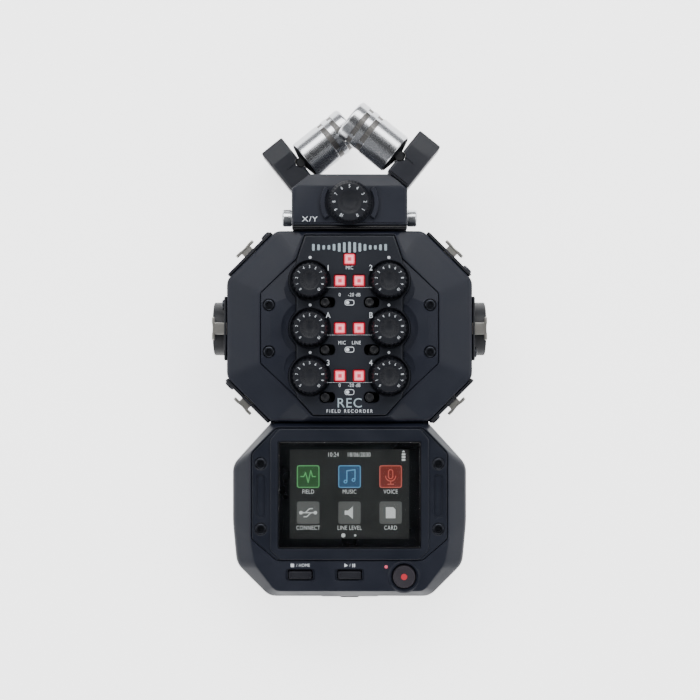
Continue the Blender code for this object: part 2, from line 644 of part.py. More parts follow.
# ------------------------------------------------------------------ transport keys
lip_top_z = SCREEN_UNDERSIDE_Z - SEAT_GAP
for name, key_x in KEY_X.items():
    key = block(name + "_cap", (*KEY_SIZE, SCREEN_DECK_Z + KEY_PROUD - lip_top_z + KEY_LIP / 2),
                (0, 0, (SCREEN_DECK_Z + KEY_PROUD + lip_top_z - KEY_LIP / 2) / 2),
                Matrix.Translation((key_x, KEY_Y, 0)))
    join(key, block(name + "_lip", (KEY_SIZE[0] + 2 * KEY_LIP, KEY_SIZE[1] + 2 * KEY_LIP, KEY_LIP),
                    (key_x, KEY_Y, lip_top_z - KEY_LIP / 2)))
    finish_part(key, name, DARK_SLATE)
record = turned("record", [
    (0, SCREEN_DECK_Z + KEY_PROUD),
    (RECORD_RADIUS - 0.0004, SCREEN_DECK_Z + KEY_PROUD),
    (RECORD_RADIUS, SCREEN_DECK_Z + KEY_PROUD / 2),
    (RECORD_RADIUS, lip_top_z),
    (RECORD_RADIUS + KEY_LIP, lip_top_z),
    (RECORD_RADIUS + KEY_LIP, lip_top_z - KEY_LIP),
    (0, lip_top_z - KEY_LIP),
], record_place)
finish_part(record, "record_button", DARK_SLATE)

# ------------------------------------------------------------------ knobs, buttons, pad switches
well_floor_z = PANEL_FRONT_Z - WELL_DEPTH
DISH_RADIUS = 0.0045
for name, (x, y) in KNOBS.items():
    knob = turned("knob_" + name, [
        (0, KNOB_TOP_Z - 0.0010),
        (DISH_RADIUS * 0.6, KNOB_TOP_Z - 0.0008),
        (DISH_RADIUS, KNOB_TOP_Z),
        (KNOB_RADIUS - 0.0010, KNOB_TOP_Z),
        (KNOB_RADIUS - 0.0006, KNOB_TOP_Z - 0.0005),
        (KNOB_RADIUS, well_floor_z + 0.0015),
        (KNOB_RADIUS, well_floor_z + RUNNING_GAP),
        (KNOB_SHAFT_RADIUS, well_floor_z + RUNNING_GAP),
        (KNOB_SHAFT_RADIUS, DECK_UNDERSIDE_Z - 0.0010),
        (0, DECK_UNDERSIDE_Z - 0.0010),
    ], Matrix.Translation((x, y, 0)), steps=22)
    finish_part(knob, "gain_knob_" + name, RUBBER, roughness=0.6)

BUTTON_PROUD = 0.0009
panel_lip_z = PANEL_BACK_Z - SEAT_GAP
for name, (x, y) in TRACK_BUTTONS.items():
    top_z = PANEL_FRONT_Z + BUTTON_PROUD
    foot_z = panel_lip_z - KEY_LIP / 2
    button = block("button_" + name, (TRACK_BUTTON_SIZE, TRACK_BUTTON_SIZE, top_z - foot_z),
                   (0, 0, (top_z + foot_z) / 2), Matrix.Translation((x, y, 0)))
    lip = TRACK_BUTTON_SIZE + 2 * KEY_LIP
    join(button, block("button_lip_" + name, (lip, lip, KEY_LIP), (x, y, panel_lip_z - KEY_LIP / 2)))
    finish_part(button, "track_button_" + name, (0.9, 0.35, 0.38), roughness=0.4)

PAD_PROUD = 0.0008
for name, (x, y) in KNOBS.items():
    # All the slide switches rest at the left of their slots, except b, which rests at the right.
    rest = PAD_TRAVEL / 2 if name == "b" else -PAD_TRAVEL / 2
    place = Matrix.Translation((math.copysign(PAD_SWITCH_X, x) + rest, y - PAD_SWITCH_DROP, 0))
    switch = cylinder("switch_" + name, PAD_KNOB_RADIUS, panel_lip_z - KEY_LIP / 2,
                      PANEL_FRONT_Z + PAD_PROUD, place, sides=20)
    lip = 2 * (PAD_KNOB_RADIUS + KEY_LIP)
    join(switch, block("switch_lip_" + name, (lip, lip, KEY_LIP),
                       (0, 0, panel_lip_z - KEY_LIP / 2), place))
    finish_part(switch, "pad_switch_" + name, DARK_SLATE)

# ------------------------------------------------------------------ sockets and their latches
PIN_RADIUS = 0.0012
PIN_CIRCLE = 0.0045
for name, place in JACK_FACES.items():
    combo = name in "ab"
    width = COMBO_FLANGE_WIDTH if combo else JACK_FLANGE_WIDTH
    thickness = COMBO_FLANGE_THICKNESS if combo else JACK_FLANGE_THICKNESS
    flange_top = SEAT_GAP + thickness
    front = COLLAR_HEIGHT if combo else flange_top + 0.0004
    insert_front = front - 0.0008 if combo else front
    # Over the wall a combo jack widens into its collar; an XLR jack stays as wide as its body.
    outer = COLLAR_RADIUS if combo else JACK_BODY_RADIUS
    jack = block("flange_" + name, (width, JACK_FLANGE_HEIGHT, thickness),
                 (0, 0, SEAT_GAP + thickness / 2), place)
    slot = block("flange_slot_" + name,
                 (LATCH_STEM[0] + 2 * RUNNING_GAP, LATCH_STEM[1] + 2 * RUNNING_GAP, 6 * WALL),
                 (0, LATCH_RISE, 0), place)
    clearing = cylinder("clearing_" + name, RING_OUTER_RADIUS + 0.0005, -WALL, WALL, place)
    barrel = turned("barrel_" + name, [
        (0, insert_front),
        (RING_INNER_RADIUS, insert_front),
        (RING_INNER_RADIUS, front - RING_DEPTH),
        (RING_OUTER_RADIUS, front - RING_DEPTH),
        (RING_OUTER_RADIUS, front),
        (outer, front),
        (outer, SEAT_GAP + thickness / 2),
        (JACK_BODY_RADIUS, SEAT_GAP + thickness / 2),
        (JACK_BODY_RADIUS, -JACK_DEPTH),
        (0, -JACK_DEPTH),
    ] if combo else [
        (0, insert_front),
        (RING_INNER_RADIUS, insert_front),
        (RING_INNER_RADIUS, front - RING_DEPTH),
        (RING_OUTER_RADIUS, front - RING_DEPTH),
        (RING_OUTER_RADIUS, front),
        (outer, front),
        (outer, -JACK_DEPTH),
        (0, -JACK_DEPTH),
    ], place)
    cut(jack, slot, clearing)
    join(jack, barrel)
    if combo:
        cut(jack, cylinder("phone_bore_" + name, PHONE_BORE_RADIUS, -JACK_DEPTH + 0.0010,
                           front + WALL, place, sides=20))
    for pin in range(3):
        angle = math.radians(90 + 90 * pin if not combo else 30 + 120 * pin)
        pin_circle = (PHONE_BORE_RADIUS + RING_INNER_RADIUS) / 2 if combo else PIN_CIRCLE
        pin_place = place @ Matrix.Translation((pin_circle * math.cos(angle),
                                                pin_circle * math.sin(angle), 0))
        cut(jack, cylinder("pin_hole_" + name, PIN_RADIUS, insert_front - 0.0060,
                           front + WALL, pin_place, sides=8))
    finish_part(jack, ("combo_jack_" if combo else "xlr_jack_") + name, RUBBER, roughness=0.4)

    reach = COLLAR_HEIGHT if combo else LATCH_REACH
    latch_place = place @ Matrix.Translation((0, LATCH_RISE, 0))
    stem_foot = -2 * WALL
    latch = block("stem_" + name, (*LATCH_STEM, reach - LATCH_PLATE[2] / 2 - stem_foot),
                  (0, 0, (reach - LATCH_PLATE[2] / 2 + stem_foot) / 2), latch_place)
    join(latch, block("plate_" + name, LATCH_PLATE, (0, 0, reach - LATCH_PLATE[2] / 2), latch_place))
    finish_part(latch, "jack_latch_" + name, NICKEL, roughness=0.3, metallic=1.0)

# ------------------------------------------------------------------ back, edges and inside
cover_end_y = END_Y + BACK_CHAMFER + SEAT_GAP
cover = block("cover", (2 * COVER_HALF_WIDTH, COVER_TOP_Y - cover_end_y, COVER_THICKNESS),
              (0, (COVER_TOP_Y + cover_end_y) / 2, BACK_Z + COVER_THICKNESS / 2))
finish_part(cover, "battery_cover", SLATE)

FOOT_HALF_WIDTH = 0.0250
FOOT_LENGTH = 0.0060
FOOT_EDGE = 0.0060            # from the end of the recorder to a foot's middle
for name, foot_y in (("foot_upper", CONTROL_TOP_Y - BACK_CHAMFER - FOOT_EDGE),
                     ("foot_lower", cover_end_y + FOOT_EDGE)):
    foot = block(name + "_pad", (2 * FOOT_HALF_WIDTH, FOOT_LENGTH, FOOT_HEIGHT),
                 (0, foot_y, FOOT_HEIGHT / 2))
    finish_part(foot, name, RUBBER, roughness=0.9)

# Four cells side by side in a tray, with the tray's floor under them.
cell_z = BACK_Z + COVER_THICKNESS + 0.0016 + CELL_RADIUS
cells_middle_y = (COVER_TOP_Y + END_Y) / 2
lying = Matrix.Rotation(math.radians(90), 4, "X")
pack = block("tray", (8 * CELL_RADIUS, CELL_LENGTH + 0.0040, CELL_RADIUS),
             (0, cells_middle_y, cell_z - CELL_RADIUS / 2))
for step in range(4):
    cell_x = (step - 1.5) * 2 * CELL_RADIUS
    join(pack, cylinder("cell", CELL_RADIUS - 0.0001, -CELL_LENGTH / 2, CELL_LENGTH / 2,
                        Matrix.Translation((cell_x, cells_middle_y, cell_z)) @ lying, sides=16))
finish_part(pack, "battery_pack", (0.2, 0.2, 0.2), roughness=0.4)

board = block("board", (2 * BOARD_HALF_WIDTH, BOARD_Y[1] - BOARD_Y[0], BOARD_Z[1] - BOARD_Z[0]),
              (0, sum(BOARD_Y) / 2, sum(BOARD_Z) / 2))
finish_part(board, "main_board", (0.02, 0.12, 0.05))

dock = block("dock", dock_size, (0, CONTROL_TOP_Y - SEAT_GAP - dock_size[1] / 2, TONGUE_Z))
cut(dock, block("dock_socket",
                (TONGUE_SIZE[0] + 2 * RUNNING_GAP, 2 * TONGUE_SIZE[1] + 2 * RUNNING_GAP,
                 TONGUE_SIZE[2] + 2 * RUNNING_GAP), (0, CONTROL_TOP_Y, TONGUE_Z)))
finish_part(dock, "capsule_dock", RUBBER)

door_hinge = (0, END_Y - SEAT_GAP - CARD_DOOR_SIZE[1] / 2, CARD_DOOR_Z + CARD_DOOR_SIZE[1] / 2)
door = block("door", CARD_DOOR_SIZE, (0, 0, (CARD_DOOR_SIZE[2] - CARD_DOOR_SIZE[1]) / 2),
             Matrix.Translation(door_hinge), bevel=0.0005)
finish_part(door, "card_door", SLATE)

slider_place = end_corner @ Matrix.Translation((-SLIDER_TRAVEL / 2, 0, 0))
slider = block("slider", (*SLIDER_SIZE, WALL + 0.0012), (0, 0, (0.0012 - WALL) / 2), slider_place,
               bevel=0.0003)
finish_part(slider, "power_switch", DARK_SLATE)

wheel = cylinder("wheel", WHEEL_RADIUS, -WHEEL_THICKNESS / 2, WHEEL_THICKNESS / 2,
                 Matrix.Translation((WHEEL_X, WHEEL_Y, EDGE_CONTROL_Z)), sides=28)
finish_part(wheel, "volume_wheel", RUBBER)

# ------------------------------------------------------------------ microphone module
module = outline_solid("module", mirrored([
    (MODULE_HALF_WIDTH, MODULE_BASE_Y),
    (MODULE_HALF_WIDTH, MODULE_SHOULDER_Y),
    (MODULE_SHOULDER_X, MODULE_TOP_Y),
]), MODULE_BACK_Z, MODULE_FRONT_Z)
module_hollow = block("module_hollow",
                      (2 * (MODULE_HALF_WIDTH - MODULE_WALL),
                       MODULE_SHOULDER_Y - MODULE_BASE_Y - MODULE_BASE_WALL,
                       MODULE_FRONT_Z - MODULE_BACK_Z - 2 * MODULE_WALL),
                      (0, (MODULE_SHOULDER_Y + MODULE_BASE_Y + MODULE_BASE_WALL) / 2,
                       (MODULE_FRONT_Z + MODULE_BACK_Z) / 2))
tongue = block("tongue", (TONGUE_SIZE[0], TONGUE_SIZE[1] + MODULE_WALL, TONGUE_SIZE[2]),
               (0, MODULE_BASE_Y - (TONGUE_SIZE[1] - MODULE_WALL) / 2, TONGUE_Z), bevel=0.0004)
cut(module, module_hollow)
join(module, tongue)

dial_place = Matrix.Translation((0, DIAL_Y, 0))
guard = turned("guard", [
    (GUARD_RADIUS - 0.0004, MODULE_FRONT_Z + 0.0020),
    (GUARD_RADIUS, MODULE_FRONT_Z + 0.0016),
    (GUARD_RADIUS, MODULE_FRONT_Z - 0.0010),
    (DIAL_RADIUS + 0.0008, MODULE_FRONT_Z - 0.0010),
    (DIAL_RADIUS + 0.0008, MODULE_FRONT_Z + 0.0016),
    (GUARD_RADIUS - 0.0004, MODULE_FRONT_Z + 0.0020),
], dial_place, steps=32)
for step in (-1, 1):
    cut(guard, block("guard_gap", (3 * GUARD_RADIUS, GUARD_RADIUS, 4 * WALL),
                     (0, DIAL_Y + step * (GUARD_HALF_HEIGHT + GUARD_RADIUS / 2), MODULE_FRONT_Z)))
join(module, guard)
cut(module, cylinder("dial_hole", DIAL_SHAFT_RADIUS + RUNNING_GAP, MODULE_FRONT_Z - 2 * MODULE_WALL,
                     MODULE_FRONT_Z + WALL, dial_place, sides=16))

RELEASE_TRAVEL = 0.0025
RELEASE_LIP = 0.0006
release_inner = MODULE_HALF_WIDTH - MODULE_WALL
for side, name in ((-1, "release_button_left"), (1, "release_button_right")):
    outwards = Matrix.Translation((side * release_inner, RELEASE_Y, RELEASE_Z)) \
        @ Matrix.Rotation(side * math.radians(90), 4, "Y")
    length = MODULE_WALL + RELEASE_PROUD
    cut(module, cylinder(name + "_bore", RELEASE_RADIUS + RUNNING_GAP, -WALL, MODULE_WALL + WALL,
                         outwards, sides=24))
    release = turned(name + "_pin", [
        (0, length),
        (RELEASE_RADIUS - 0.0004, length),
        (RELEASE_RADIUS, length - 0.0004),
        (RELEASE_RADIUS, -RUNNING_GAP),
        (RELEASE_RADIUS + RELEASE_LIP, -RUNNING_GAP),
        (RELEASE_RADIUS + RELEASE_LIP, -0.0014),
        (0, -0.0014),
    ], outwards, steps=20)
    finish_part(release, name, SILVER, roughness=0.35, metallic=1.0)
finish_part(module, "capsule_housing", SLATE)

dial = turned("dial", [
    (0, DIAL_TOP_Z - 0.0006),
    (DIAL_RADIUS * 0.5, DIAL_TOP_Z - 0.0004),
    (DIAL_RADIUS * 0.6, DIAL_TOP_Z),
    (DIAL_RADIUS - 0.0012, DIAL_TOP_Z),
    (DIAL_RADIUS - 0.0008, DIAL_TOP_Z - 0.0005),
    (DIAL_RADIUS, MODULE_FRONT_Z + 0.0012),
    (DIAL_RADIUS, MODULE_FRONT_Z + RUNNING_GAP),
    (DIAL_SHAFT_RADIUS, MODULE_FRONT_Z + RUNNING_GAP),
    (DIAL_SHAFT_RADIUS, MODULE_FRONT_Z - MODULE_WALL - 0.0020),
    (0, MODULE_FRONT_Z - MODULE_WALL - 0.0020),
], dial_place, steps=28)
finish_part(dial, "mic_dial", RUBBER, roughness=0.6)

# Each arm stands on a shoulder of the housing; its microphone turns on a knuckle in the arm.
ARM_BEVEL = 0.0010
shoulder_along = Vector((MODULE_HALF_WIDTH - MODULE_SHOULDER_X, MODULE_SHOULDER_Y - MODULE_TOP_Y))
for side, word, mic_z in ((-1, "left", LEFT_MIC_Z), (1, "right", RIGHT_MIC_Z)):
    pivot = Vector((side * MIC_PIVOT[0], MIC_PIVOT[1], mic_z))
    # The arm's own frame: Y up the arm, X away from the microphone, Z as the recorder's.
    up = Vector((side * math.cos(ARM_LEAN), math.sin(ARM_LEAN), 0))
    away = Vector((side * math.sin(ARM_LEAN), -math.cos(ARM_LEAN), 0))
    turn = Matrix((away, up, Vector((0, 0, side)))).transposed().to_4x4()
    arm_place = Matrix.Translation(pivot) @ turn
    arm_foot = Vector((side * MODULE_HALF_WIDTH, MODULE_SHOULDER_Y, mic_z)) - pivot
    foot_length = -arm_foot.dot(up) - SEAT_GAP
    arm = block("arm_" + word, (ARM_WIDTH, ARM_PAST_PIVOT + foot_length, ARM_THICKNESS),
                (ARM_WIDTH / 2, (ARM_PAST_PIVOT - foot_length) / 2, 0), arm_place, bevel=ARM_BEVEL)
    cut(arm, cylinder("groove_" + word, KNUCKLE_RADIUS + RUNNING_GAP, -ARM_THICKNESS,
                      ARM_THICKNESS, arm_place, sides=20))
    finish_part(arm, "mic_arm_" + word, SLATE)

    # The barrel lies along the arm's -X: the turned profile's axis points away from the arm.
    mic_turn = Matrix((up, Vector((0, 0, side)), -away)).transposed().to_4x4()
    mic_place = Matrix.Translation(pivot) @ mic_turn
    front = MIC_STANDOFF + MIC_LENGTH
    mic = turned("mic_" + word, [
        (0, front - 0.0010),
        (MIC_RADIUS - 0.0028, front - 0.0008),
        (MIC_RADIUS - 0.0020, front),
        (MIC_RADIUS - 0.0006, front - 0.0004),
        (MIC_RADIUS, front - 0.0018),
        (MIC_RADIUS, MIC_STANDOFF),
        (MIC_RADIUS - 0.0010, MIC_STANDOFF - 0.0004),
        (0.0034, 0.0007),
        (0, 0.0007),
    ], mic_place, steps=32)
    knuckle = cylinder("knuckle_" + word, KNUCKLE_RADIUS, -0.0060, 0.0060,
                       Matrix.Translation(pivot), sides=16)
    join(mic, knuckle)
    finish_part(mic, word + "_microphone", SILVER, roughness=0.25, metallic=1.0)

# ------------------------------------------------------------------ origin
# The model's origin is the middle of its underside, so the parts shift along Y to centre it.
bpy.context.view_layer.update()
depsgraph = bpy.context.evaluated_depsgraph_get()
lengths = []
for solid in PARTS.objects:
    if solid.type == "MESH":
        seen = solid.evaluated_get(depsgraph)
        lengths += [(solid.matrix_world @ Vector(corner)).y for corner in seen.bound_box]
ORIGIN.location.y = -(min(lengths) + max(lengths)) / 2
bpy.context.view_layer.update()
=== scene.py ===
"""A portable field recorder, lying on its back, built up piece by piece round its frame."""
import math

import bmesh
import bpy
from mathutils import Matrix, Vector


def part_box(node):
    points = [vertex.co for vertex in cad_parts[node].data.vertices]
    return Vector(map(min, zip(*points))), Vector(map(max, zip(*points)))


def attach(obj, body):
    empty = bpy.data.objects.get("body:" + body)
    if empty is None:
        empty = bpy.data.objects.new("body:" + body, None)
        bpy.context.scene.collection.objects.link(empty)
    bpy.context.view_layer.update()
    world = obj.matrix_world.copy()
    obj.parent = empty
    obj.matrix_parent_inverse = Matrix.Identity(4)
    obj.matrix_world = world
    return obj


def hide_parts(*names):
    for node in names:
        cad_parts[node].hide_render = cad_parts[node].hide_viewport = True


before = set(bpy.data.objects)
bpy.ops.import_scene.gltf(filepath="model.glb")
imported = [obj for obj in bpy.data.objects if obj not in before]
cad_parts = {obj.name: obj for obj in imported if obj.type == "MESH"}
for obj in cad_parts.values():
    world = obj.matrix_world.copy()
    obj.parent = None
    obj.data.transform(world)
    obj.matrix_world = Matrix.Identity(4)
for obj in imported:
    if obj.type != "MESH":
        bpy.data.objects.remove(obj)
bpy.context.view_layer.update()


# ==================================================================== studio
# Nothing here is part of the recorder. The camera hangs straight over it, as for a catalogue
# shot: a 72 mm lens 600 mm over the middle of the body. A pale table and large soft lights.
def linked(name, data):
    """A new object in the scene."""
    made = bpy.data.objects.new(name, data)
    bpy.context.scene.collection.objects.link(made)
    return made


def meshed(bm, name):
    """Turn a mesh under construction into a linked object."""
    mesh = bpy.data.meshes.new(name)
    bm.to_mesh(mesh)
    bm.free()
    return linked(name, mesh)


def adder(tree, shader="Principled BSDF"):
    """A function that adds a node, or takes the tree's shader, and sets or links its inputs."""
    def add(kind, inputs, **settings):
        node = tree.nodes[shader] if kind == "shader" else tree.nodes.new("ShaderNode" + kind)
        for setting, value in settings.items():
            setattr(node, setting, value)
        for name, value in inputs.items():
            socket = node.inputs[name]
            if isinstance(value, bpy.types.NodeSocket):
                tree.links.new(value, socket)
            else:
                socket.default_value = (*value, 1) if socket.type == "RGBA" else value
        return node.outputs
    return add


def look(name):
    """Start a material: gives it, its node adder and its coordinates."""
    made = bpy.data.materials.new(name)
    made.use_nodes = True
    add = adder(made.node_tree)
    return made, add, add("TexCoord", {})


def area_light(name, place, aim, size, power):
    lamp = bpy.data.lights.new(name, "AREA")
    lamp.shape = "RECTANGLE"
    lamp.size, lamp.size_y = size
    lamp.energy = power
    held = linked(name, lamp)
    held.location = place
    held.rotation_euler = (Vector(aim) - Vector(place)).to_track_quat("-Z", "Y").to_euler()


camera_data = bpy.data.cameras.new("camera")
camera_data.lens = 72.1
camera_data.sensor_width = 36.0
camera_data.clip_start = 0.01
camera = linked("camera", camera_data)
camera.location = (0.0002, 0.0008, 0.625)
bpy.context.scene.camera = camera

area_light("top_softbox", (0.0, 0.75, 0.85), (0, 0.02, 0.02), (1.3, 0.5), 16)
area_light("left_softbox", (-0.85, 0.05, 0.75), (0, 0, 0.02), (0.5, 1.0), 5)
area_light("right_softbox", (0.85, 0.05, 0.75), (0, 0, 0.02), (0.5, 1.0), 5)
area_light("near_softbox", (0.0, -0.85, 0.55), (0, -0.04, 0.02), (1.0, 0.35), 5)

# The room is white low down and black overhead, so that flat tops and the glass stay dark.
world = bpy.data.worlds.new("studio")
world.use_nodes = True
room = adder(world.node_tree, "Background")
room_axes = room("SeparateXYZ", {"Vector": room("TexCoord", {})["Generated"]})
room_fade = room("MapRange", {"From Min": 0.80, "From Max": 0.97, "To Min": 0.30, "To Max": 0.02,
    "Value": room_axes["Z"]}, interpolation_type="SMOOTHSTEP")
room("shader", {"Color": (0.93, 0.95, 1.0), "Strength": room_fade["Result"]})
bpy.context.scene.world = world

floor_bm = bmesh.new()
bmesh.ops.create_grid(floor_bm, x_segments=1, y_segments=1, size=3.0)
table = meshed(floor_bm, "table")
table_paint, table_look, _ = look("table_paint")
table_look("shader", {"Base Color": (0.92, 0.92, 0.92), "Roughness": 0.9, "Specular IOR Level": 0.1,
                     "Emission Color": (1.0, 1.0, 1.0), "Emission Strength": 2.2})
table.data.materials.append(table_paint)


# ================================================================ housing of the control section
# Upper front shell: one moulding in dark slate glass-filled plastic with a fine spark-eroded grain.
# Upright walls carry the sockets; broad facets climb from them to a flat deck that is recessed for
# the control panel and the two wing plates. It is screwed to the rear shell.
def moulded_plastic(name, colour, roughness=0.5, grain=0.00022, depth=0.12, specular=0.3):
    """Moulded plastic: fine eroded grain in the surface, and a slow drift of shade and gloss."""
    made, add, place = look(name)

    def noise(size, detail):
        return add("TexNoise", {"Scale": 1.0 / size, "Detail": detail,
                                "Vector": place["Object"]})["Fac"]

    def spread(source, low, high):
        return add("MapRange", {"From Min": 0.3, "From Max": 0.7, "To Min": low, "To Max": high,
                                "Value": source})["Result"]

    fine, slow = noise(grain, 3), noise(0.012, 2)
    blend = add("Math", {0: spread(fine, 0.0, 0.55), 1: spread(slow, 0.0, 0.45)}, operation="ADD")
    shade = add("Mix", {"A": [c * 0.86 for c in colour], "B": [c * 1.14 for c in colour],
                        "Factor": blend["Value"]}, data_type="RGBA")
    bump = add("Bump", {"Strength": depth, "Distance": 0.00006, "Height": fine})
    add("shader", {"Base Color": shade["Result"], "Normal": bump["Normal"],
                   "Roughness": spread(slow, roughness - 0.05, roughness + 0.05),
                   "Specular IOR Level": specular})
    return made


def centre(node):
    low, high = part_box(node)
    return (low + high) / 2


def mirrored(right_side):
    """Close an outline from its right side, listed from the bottom up."""
    return right_side + [(-x, y) for x, y in reversed(right_side)]


def neighbours(points, i):
    return Vector(points[i - 1]), Vector(points[i]), Vector(points[(i + 1) % len(points)])


def inset(points, distance):
    """Move every edge of a counter-clockwise outline inwards."""
    moved = []
    for i in range(len(points)):
        last, here, following = neighbours(points, i)
        before, after = (here - last).normalized(), (following - here).normalized()
        normals = Vector((-before.y, before.x)), Vector((-after.y, after.x))
        shift = distance / (1.0 + normals[0].dot(normals[1]))
        moved.append(tuple(here + (normals[0] + normals[1]) * shift))
    return moved


def bend(start, middle, end, steps):
    """Points of a short curve that starts and ends along two straight lines."""
    shares = [k / steps for k in range(steps + 1)]
    return [start * (1 - t) ** 2 + middle * 2 * t * (1 - t) + end * t * t for t in shares]


def round_corners(points, radius, steps=4):
    """Replace each corner of an outline by a short curve."""
    curved = []
    for i in range(len(points)):
        last, here, following = neighbours(points, i)
        ends = [here + way.normalized() * min(radius, way.length * 0.45)
                for way in (last - here, following - here)]
        curved += [tuple(point) for point in bend(ends[0], here, ends[1], steps)]
    return curved


def level(points, height):
    return [Vector((x, y, height)) for x, y in points]


def soften(stations, reach, steps=4):
    """Round the bends where one ring of a loft turns into the next."""
    rings = [stations[0]]
    for last, here, following in zip(stations, stations[1:], stations[2:]):
        span = [sum((a - b).length for a, b in zip(here, other)) / len(here)
                for other in (last, following)]
        share = [min(0.45, reach / max(length, 1e-6)) for length in span]
        curves = [bend(b.lerp(a, share[0]), b, b.lerp(c, share[1]), steps)
                  for a, b, c in zip(last, here, following)]
        rings += [list(ring) for ring in zip(*curves)]
    return rings + [stations[-1]]


def crease(bm, sharp):
    """Smooth the rounds, and keep steep edges and the bends between broad faces crisp."""
    width = {}
    for face in bm.faces:
        face.smooth = True
        width[face] = face.calc_area() / max(edge.calc_length() for edge in face.edges)
    for edge in bm.edges:
        faces = edge.link_faces
        if len(faces) == 2:
            broad = min(width[faces[0]], width[faces[1]]) > 0.0012
            edge.smooth = edge.calc_face_angle(0) < math.radians(3 if broad else sharp)


def shade_solid(bm, name, sharp=38):
    """Turn a finished mesh under construction into a linked object with smooth rounds."""
    bmesh.ops.remove_doubles(bm, verts=bm.verts, dist=1e-8)
    bmesh.ops.recalc_face_normals(bm, faces=bm.faces)
    crease(bm, sharp)
    return meshed(bm, name)


def skin(bm, rings, closed=False):
    """Add a skin through rings with the same number of points, capped or closed on itself."""
    loops = [[bm.verts.new(point) for point in ring] for ring in rings]
    for lower, upper in zip(loops, loops[1:] + loops[:1] * closed):
        for i in range(len(lower)):
            bm.faces.new((lower[i - 1], lower[i], upper[i], upper[i - 1]))
    if not closed:
        bm.faces.new(list(reversed(loops[0])))
        bm.faces.new(loops[-1])


def loft(name, rings, sharp=38):
    """A solid skin through rings with the same number of points."""
    bm = bmesh.new()
    skin(bm, rings)
    return shade_solid(bm, name, sharp)


def plate(name, outline, low, high, edge=0.0004, low_edge=0.0002, steps=3):
    """A flat moulding with rounded upper edges and a small break on the lower ones."""
    rings = [level(inset(outline, low_edge), low), level(outline, low + low_edge)]
    for k in range(steps + 1):
        turn = math.radians(90) * k / steps
        rings.append(level(inset(outline, edge * (1 - math.cos(turn))),
                           high - edge + edge * math.sin(turn)))
    return loft(name, rings)


def hole_tool(outline, low, high, flare=0.0003):
    """A cutter with upright walls that flares out at its mouth, so the hole has a broken edge."""
    return loft("tool", [level(outline, low), level(outline, high - flare),
                         level(inset(outline, -2 * flare), high + flare)])


def arc(x, y, radius, first, last, steps=12):
    """Points round a middle, from one angle in degrees to another."""
    turns = [math.radians(first + (last - first) * k / steps) for k in range(steps + 1)]
    return [(x + radius * math.cos(turn), y + radius * math.sin(turn)) for turn in turns]


def ring_points(x, y, radius, count=32):
    return arc(x, y, radius, 0, 360, count)[:-1]


def box_points(x, y, width, height, radius=0.0005):
    corners = [(x + i * width / 2, y + j * height / 2)
               for i, j in ((-1, -1), (1, -1), (1, 1), (-1, 1))]
    return round_corners(corners, radius, 3)


def round_hole(x, y, radius, low, high, flare=0.0003, count=32):
    return hole_tool(ring_points(x, y, radius, count), low, high, flare)


def box_hole(x, y, width, height, radius, low, high, flare=0.0003):
    return hole_tool(box_points(x, y, width, height, radius), low, high, flare)


def work(solid, tools, operation="DIFFERENCE", sharp=38):
    """Cut or join tools into a solid, and clear the tools away."""
    for tool in tools:
        boolean = solid.modifiers.new("work", "BOOLEAN")
        boolean.operation = operation
        boolean.solver = "MANIFOLD"
        boolean.object = tool
    bpy.context.view_layer.update()
    seen = solid.evaluated_get(bpy.context.evaluated_depsgraph_get())
    mesh = bpy.data.meshes.new_from_object(seen)
    solid.modifiers.clear()
    solid.data = mesh
    for tool in tools:
        bpy.data.objects.remove(tool)
    bm = bmesh.new()
    bm.from_mesh(mesh)
    crease(bm, sharp)
    bm.to_mesh(mesh)
    bm.free()
    return solid


def fit(piece, body, slot, material, *nodes):
    """Give a piece its material, the body it rides on, its weighted normals, and the nodes it
    stands for; its slot, a finish name, is not used.
    """
    piece.data.materials.clear()
    piece.data.materials.append(material)
    normals = piece.modifiers.new("normals", "WEIGHTED_NORMAL")
    normals.keep_sharp = True
    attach(piece, body)
    if nodes:
        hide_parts(*nodes)
    return piece


shell_low, shell_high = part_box("upper_front_housing")
row_y = centre("gain_knob_a").y
half_width = shell_high.x
top_y = shell_high.y
neck_y = shell_low.y
neck_half = 0.0330
sides = (("right", 1), ("left", -1))
ends = (("upper", 1), ("lower", -1))
top_cut = 0.0206
bottom_cut = half_width - neck_half
control_right = [(half_width, neck_y + bottom_cut), (half_width, top_y - top_cut),
                 (half_width - top_cut, top_y)]
panel_low, panel_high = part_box("control_panel")
wing_low, wing_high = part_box("right_wing_plate")
wing_shoulder = (0.0147, -0.0145)     # outer corners of the wing plates, from the middle row
wing_tip_x = 0.0219
deck_z = shell_high.z
wall_top_z = deck_z - 0.0030
panel_top_half = 0.0185
panel_bottom_half = 0.0152
rim = 0.0009

wall_outline = mirrored([(panel_top_half, neck_y), (neck_half, neck_y)] + control_right
    + [(panel_top_half + 2 * rim, top_y)])
deck_outline = mirrored([(panel_bottom_half + rim, panel_low.y - rim),
    (wing_tip_x + rim, wing_low.y - rim), (wing_high.x + rim, row_y + wing_shoulder[1]),
    (wing_high.x + rim, row_y + wing_shoulder[0]), (wing_tip_x + rim, wing_high.y + rim),
    (panel_top_half + rim, panel_high.y + rim)])
slate = moulded_plastic("slate_plastic", (0.0064, 0.0084, 0.0158), roughness=0.47)

wall_ring = round_corners(wall_outline, 0.0022)
deck_ring = round_corners(deck_outline, 0.0016)
seam = 0.0003
upper_shell = loft("control_housing", soften([level(inset(wall_ring, seam), shell_low.z),
    level(wall_ring, shell_low.z + seam), level(wall_ring, wall_top_z), level(deck_ring, deck_z),
    level(inset(deck_ring, 0.0004), deck_z),], 0.0011), sharp=30)


def flat_at(x, y, z):
    return Matrix.Translation((x, y, z))


def turned_over(x, y, z):
    return flat_at(x, y, z) @ Matrix.Diagonal((-1, 1, -1, 1))


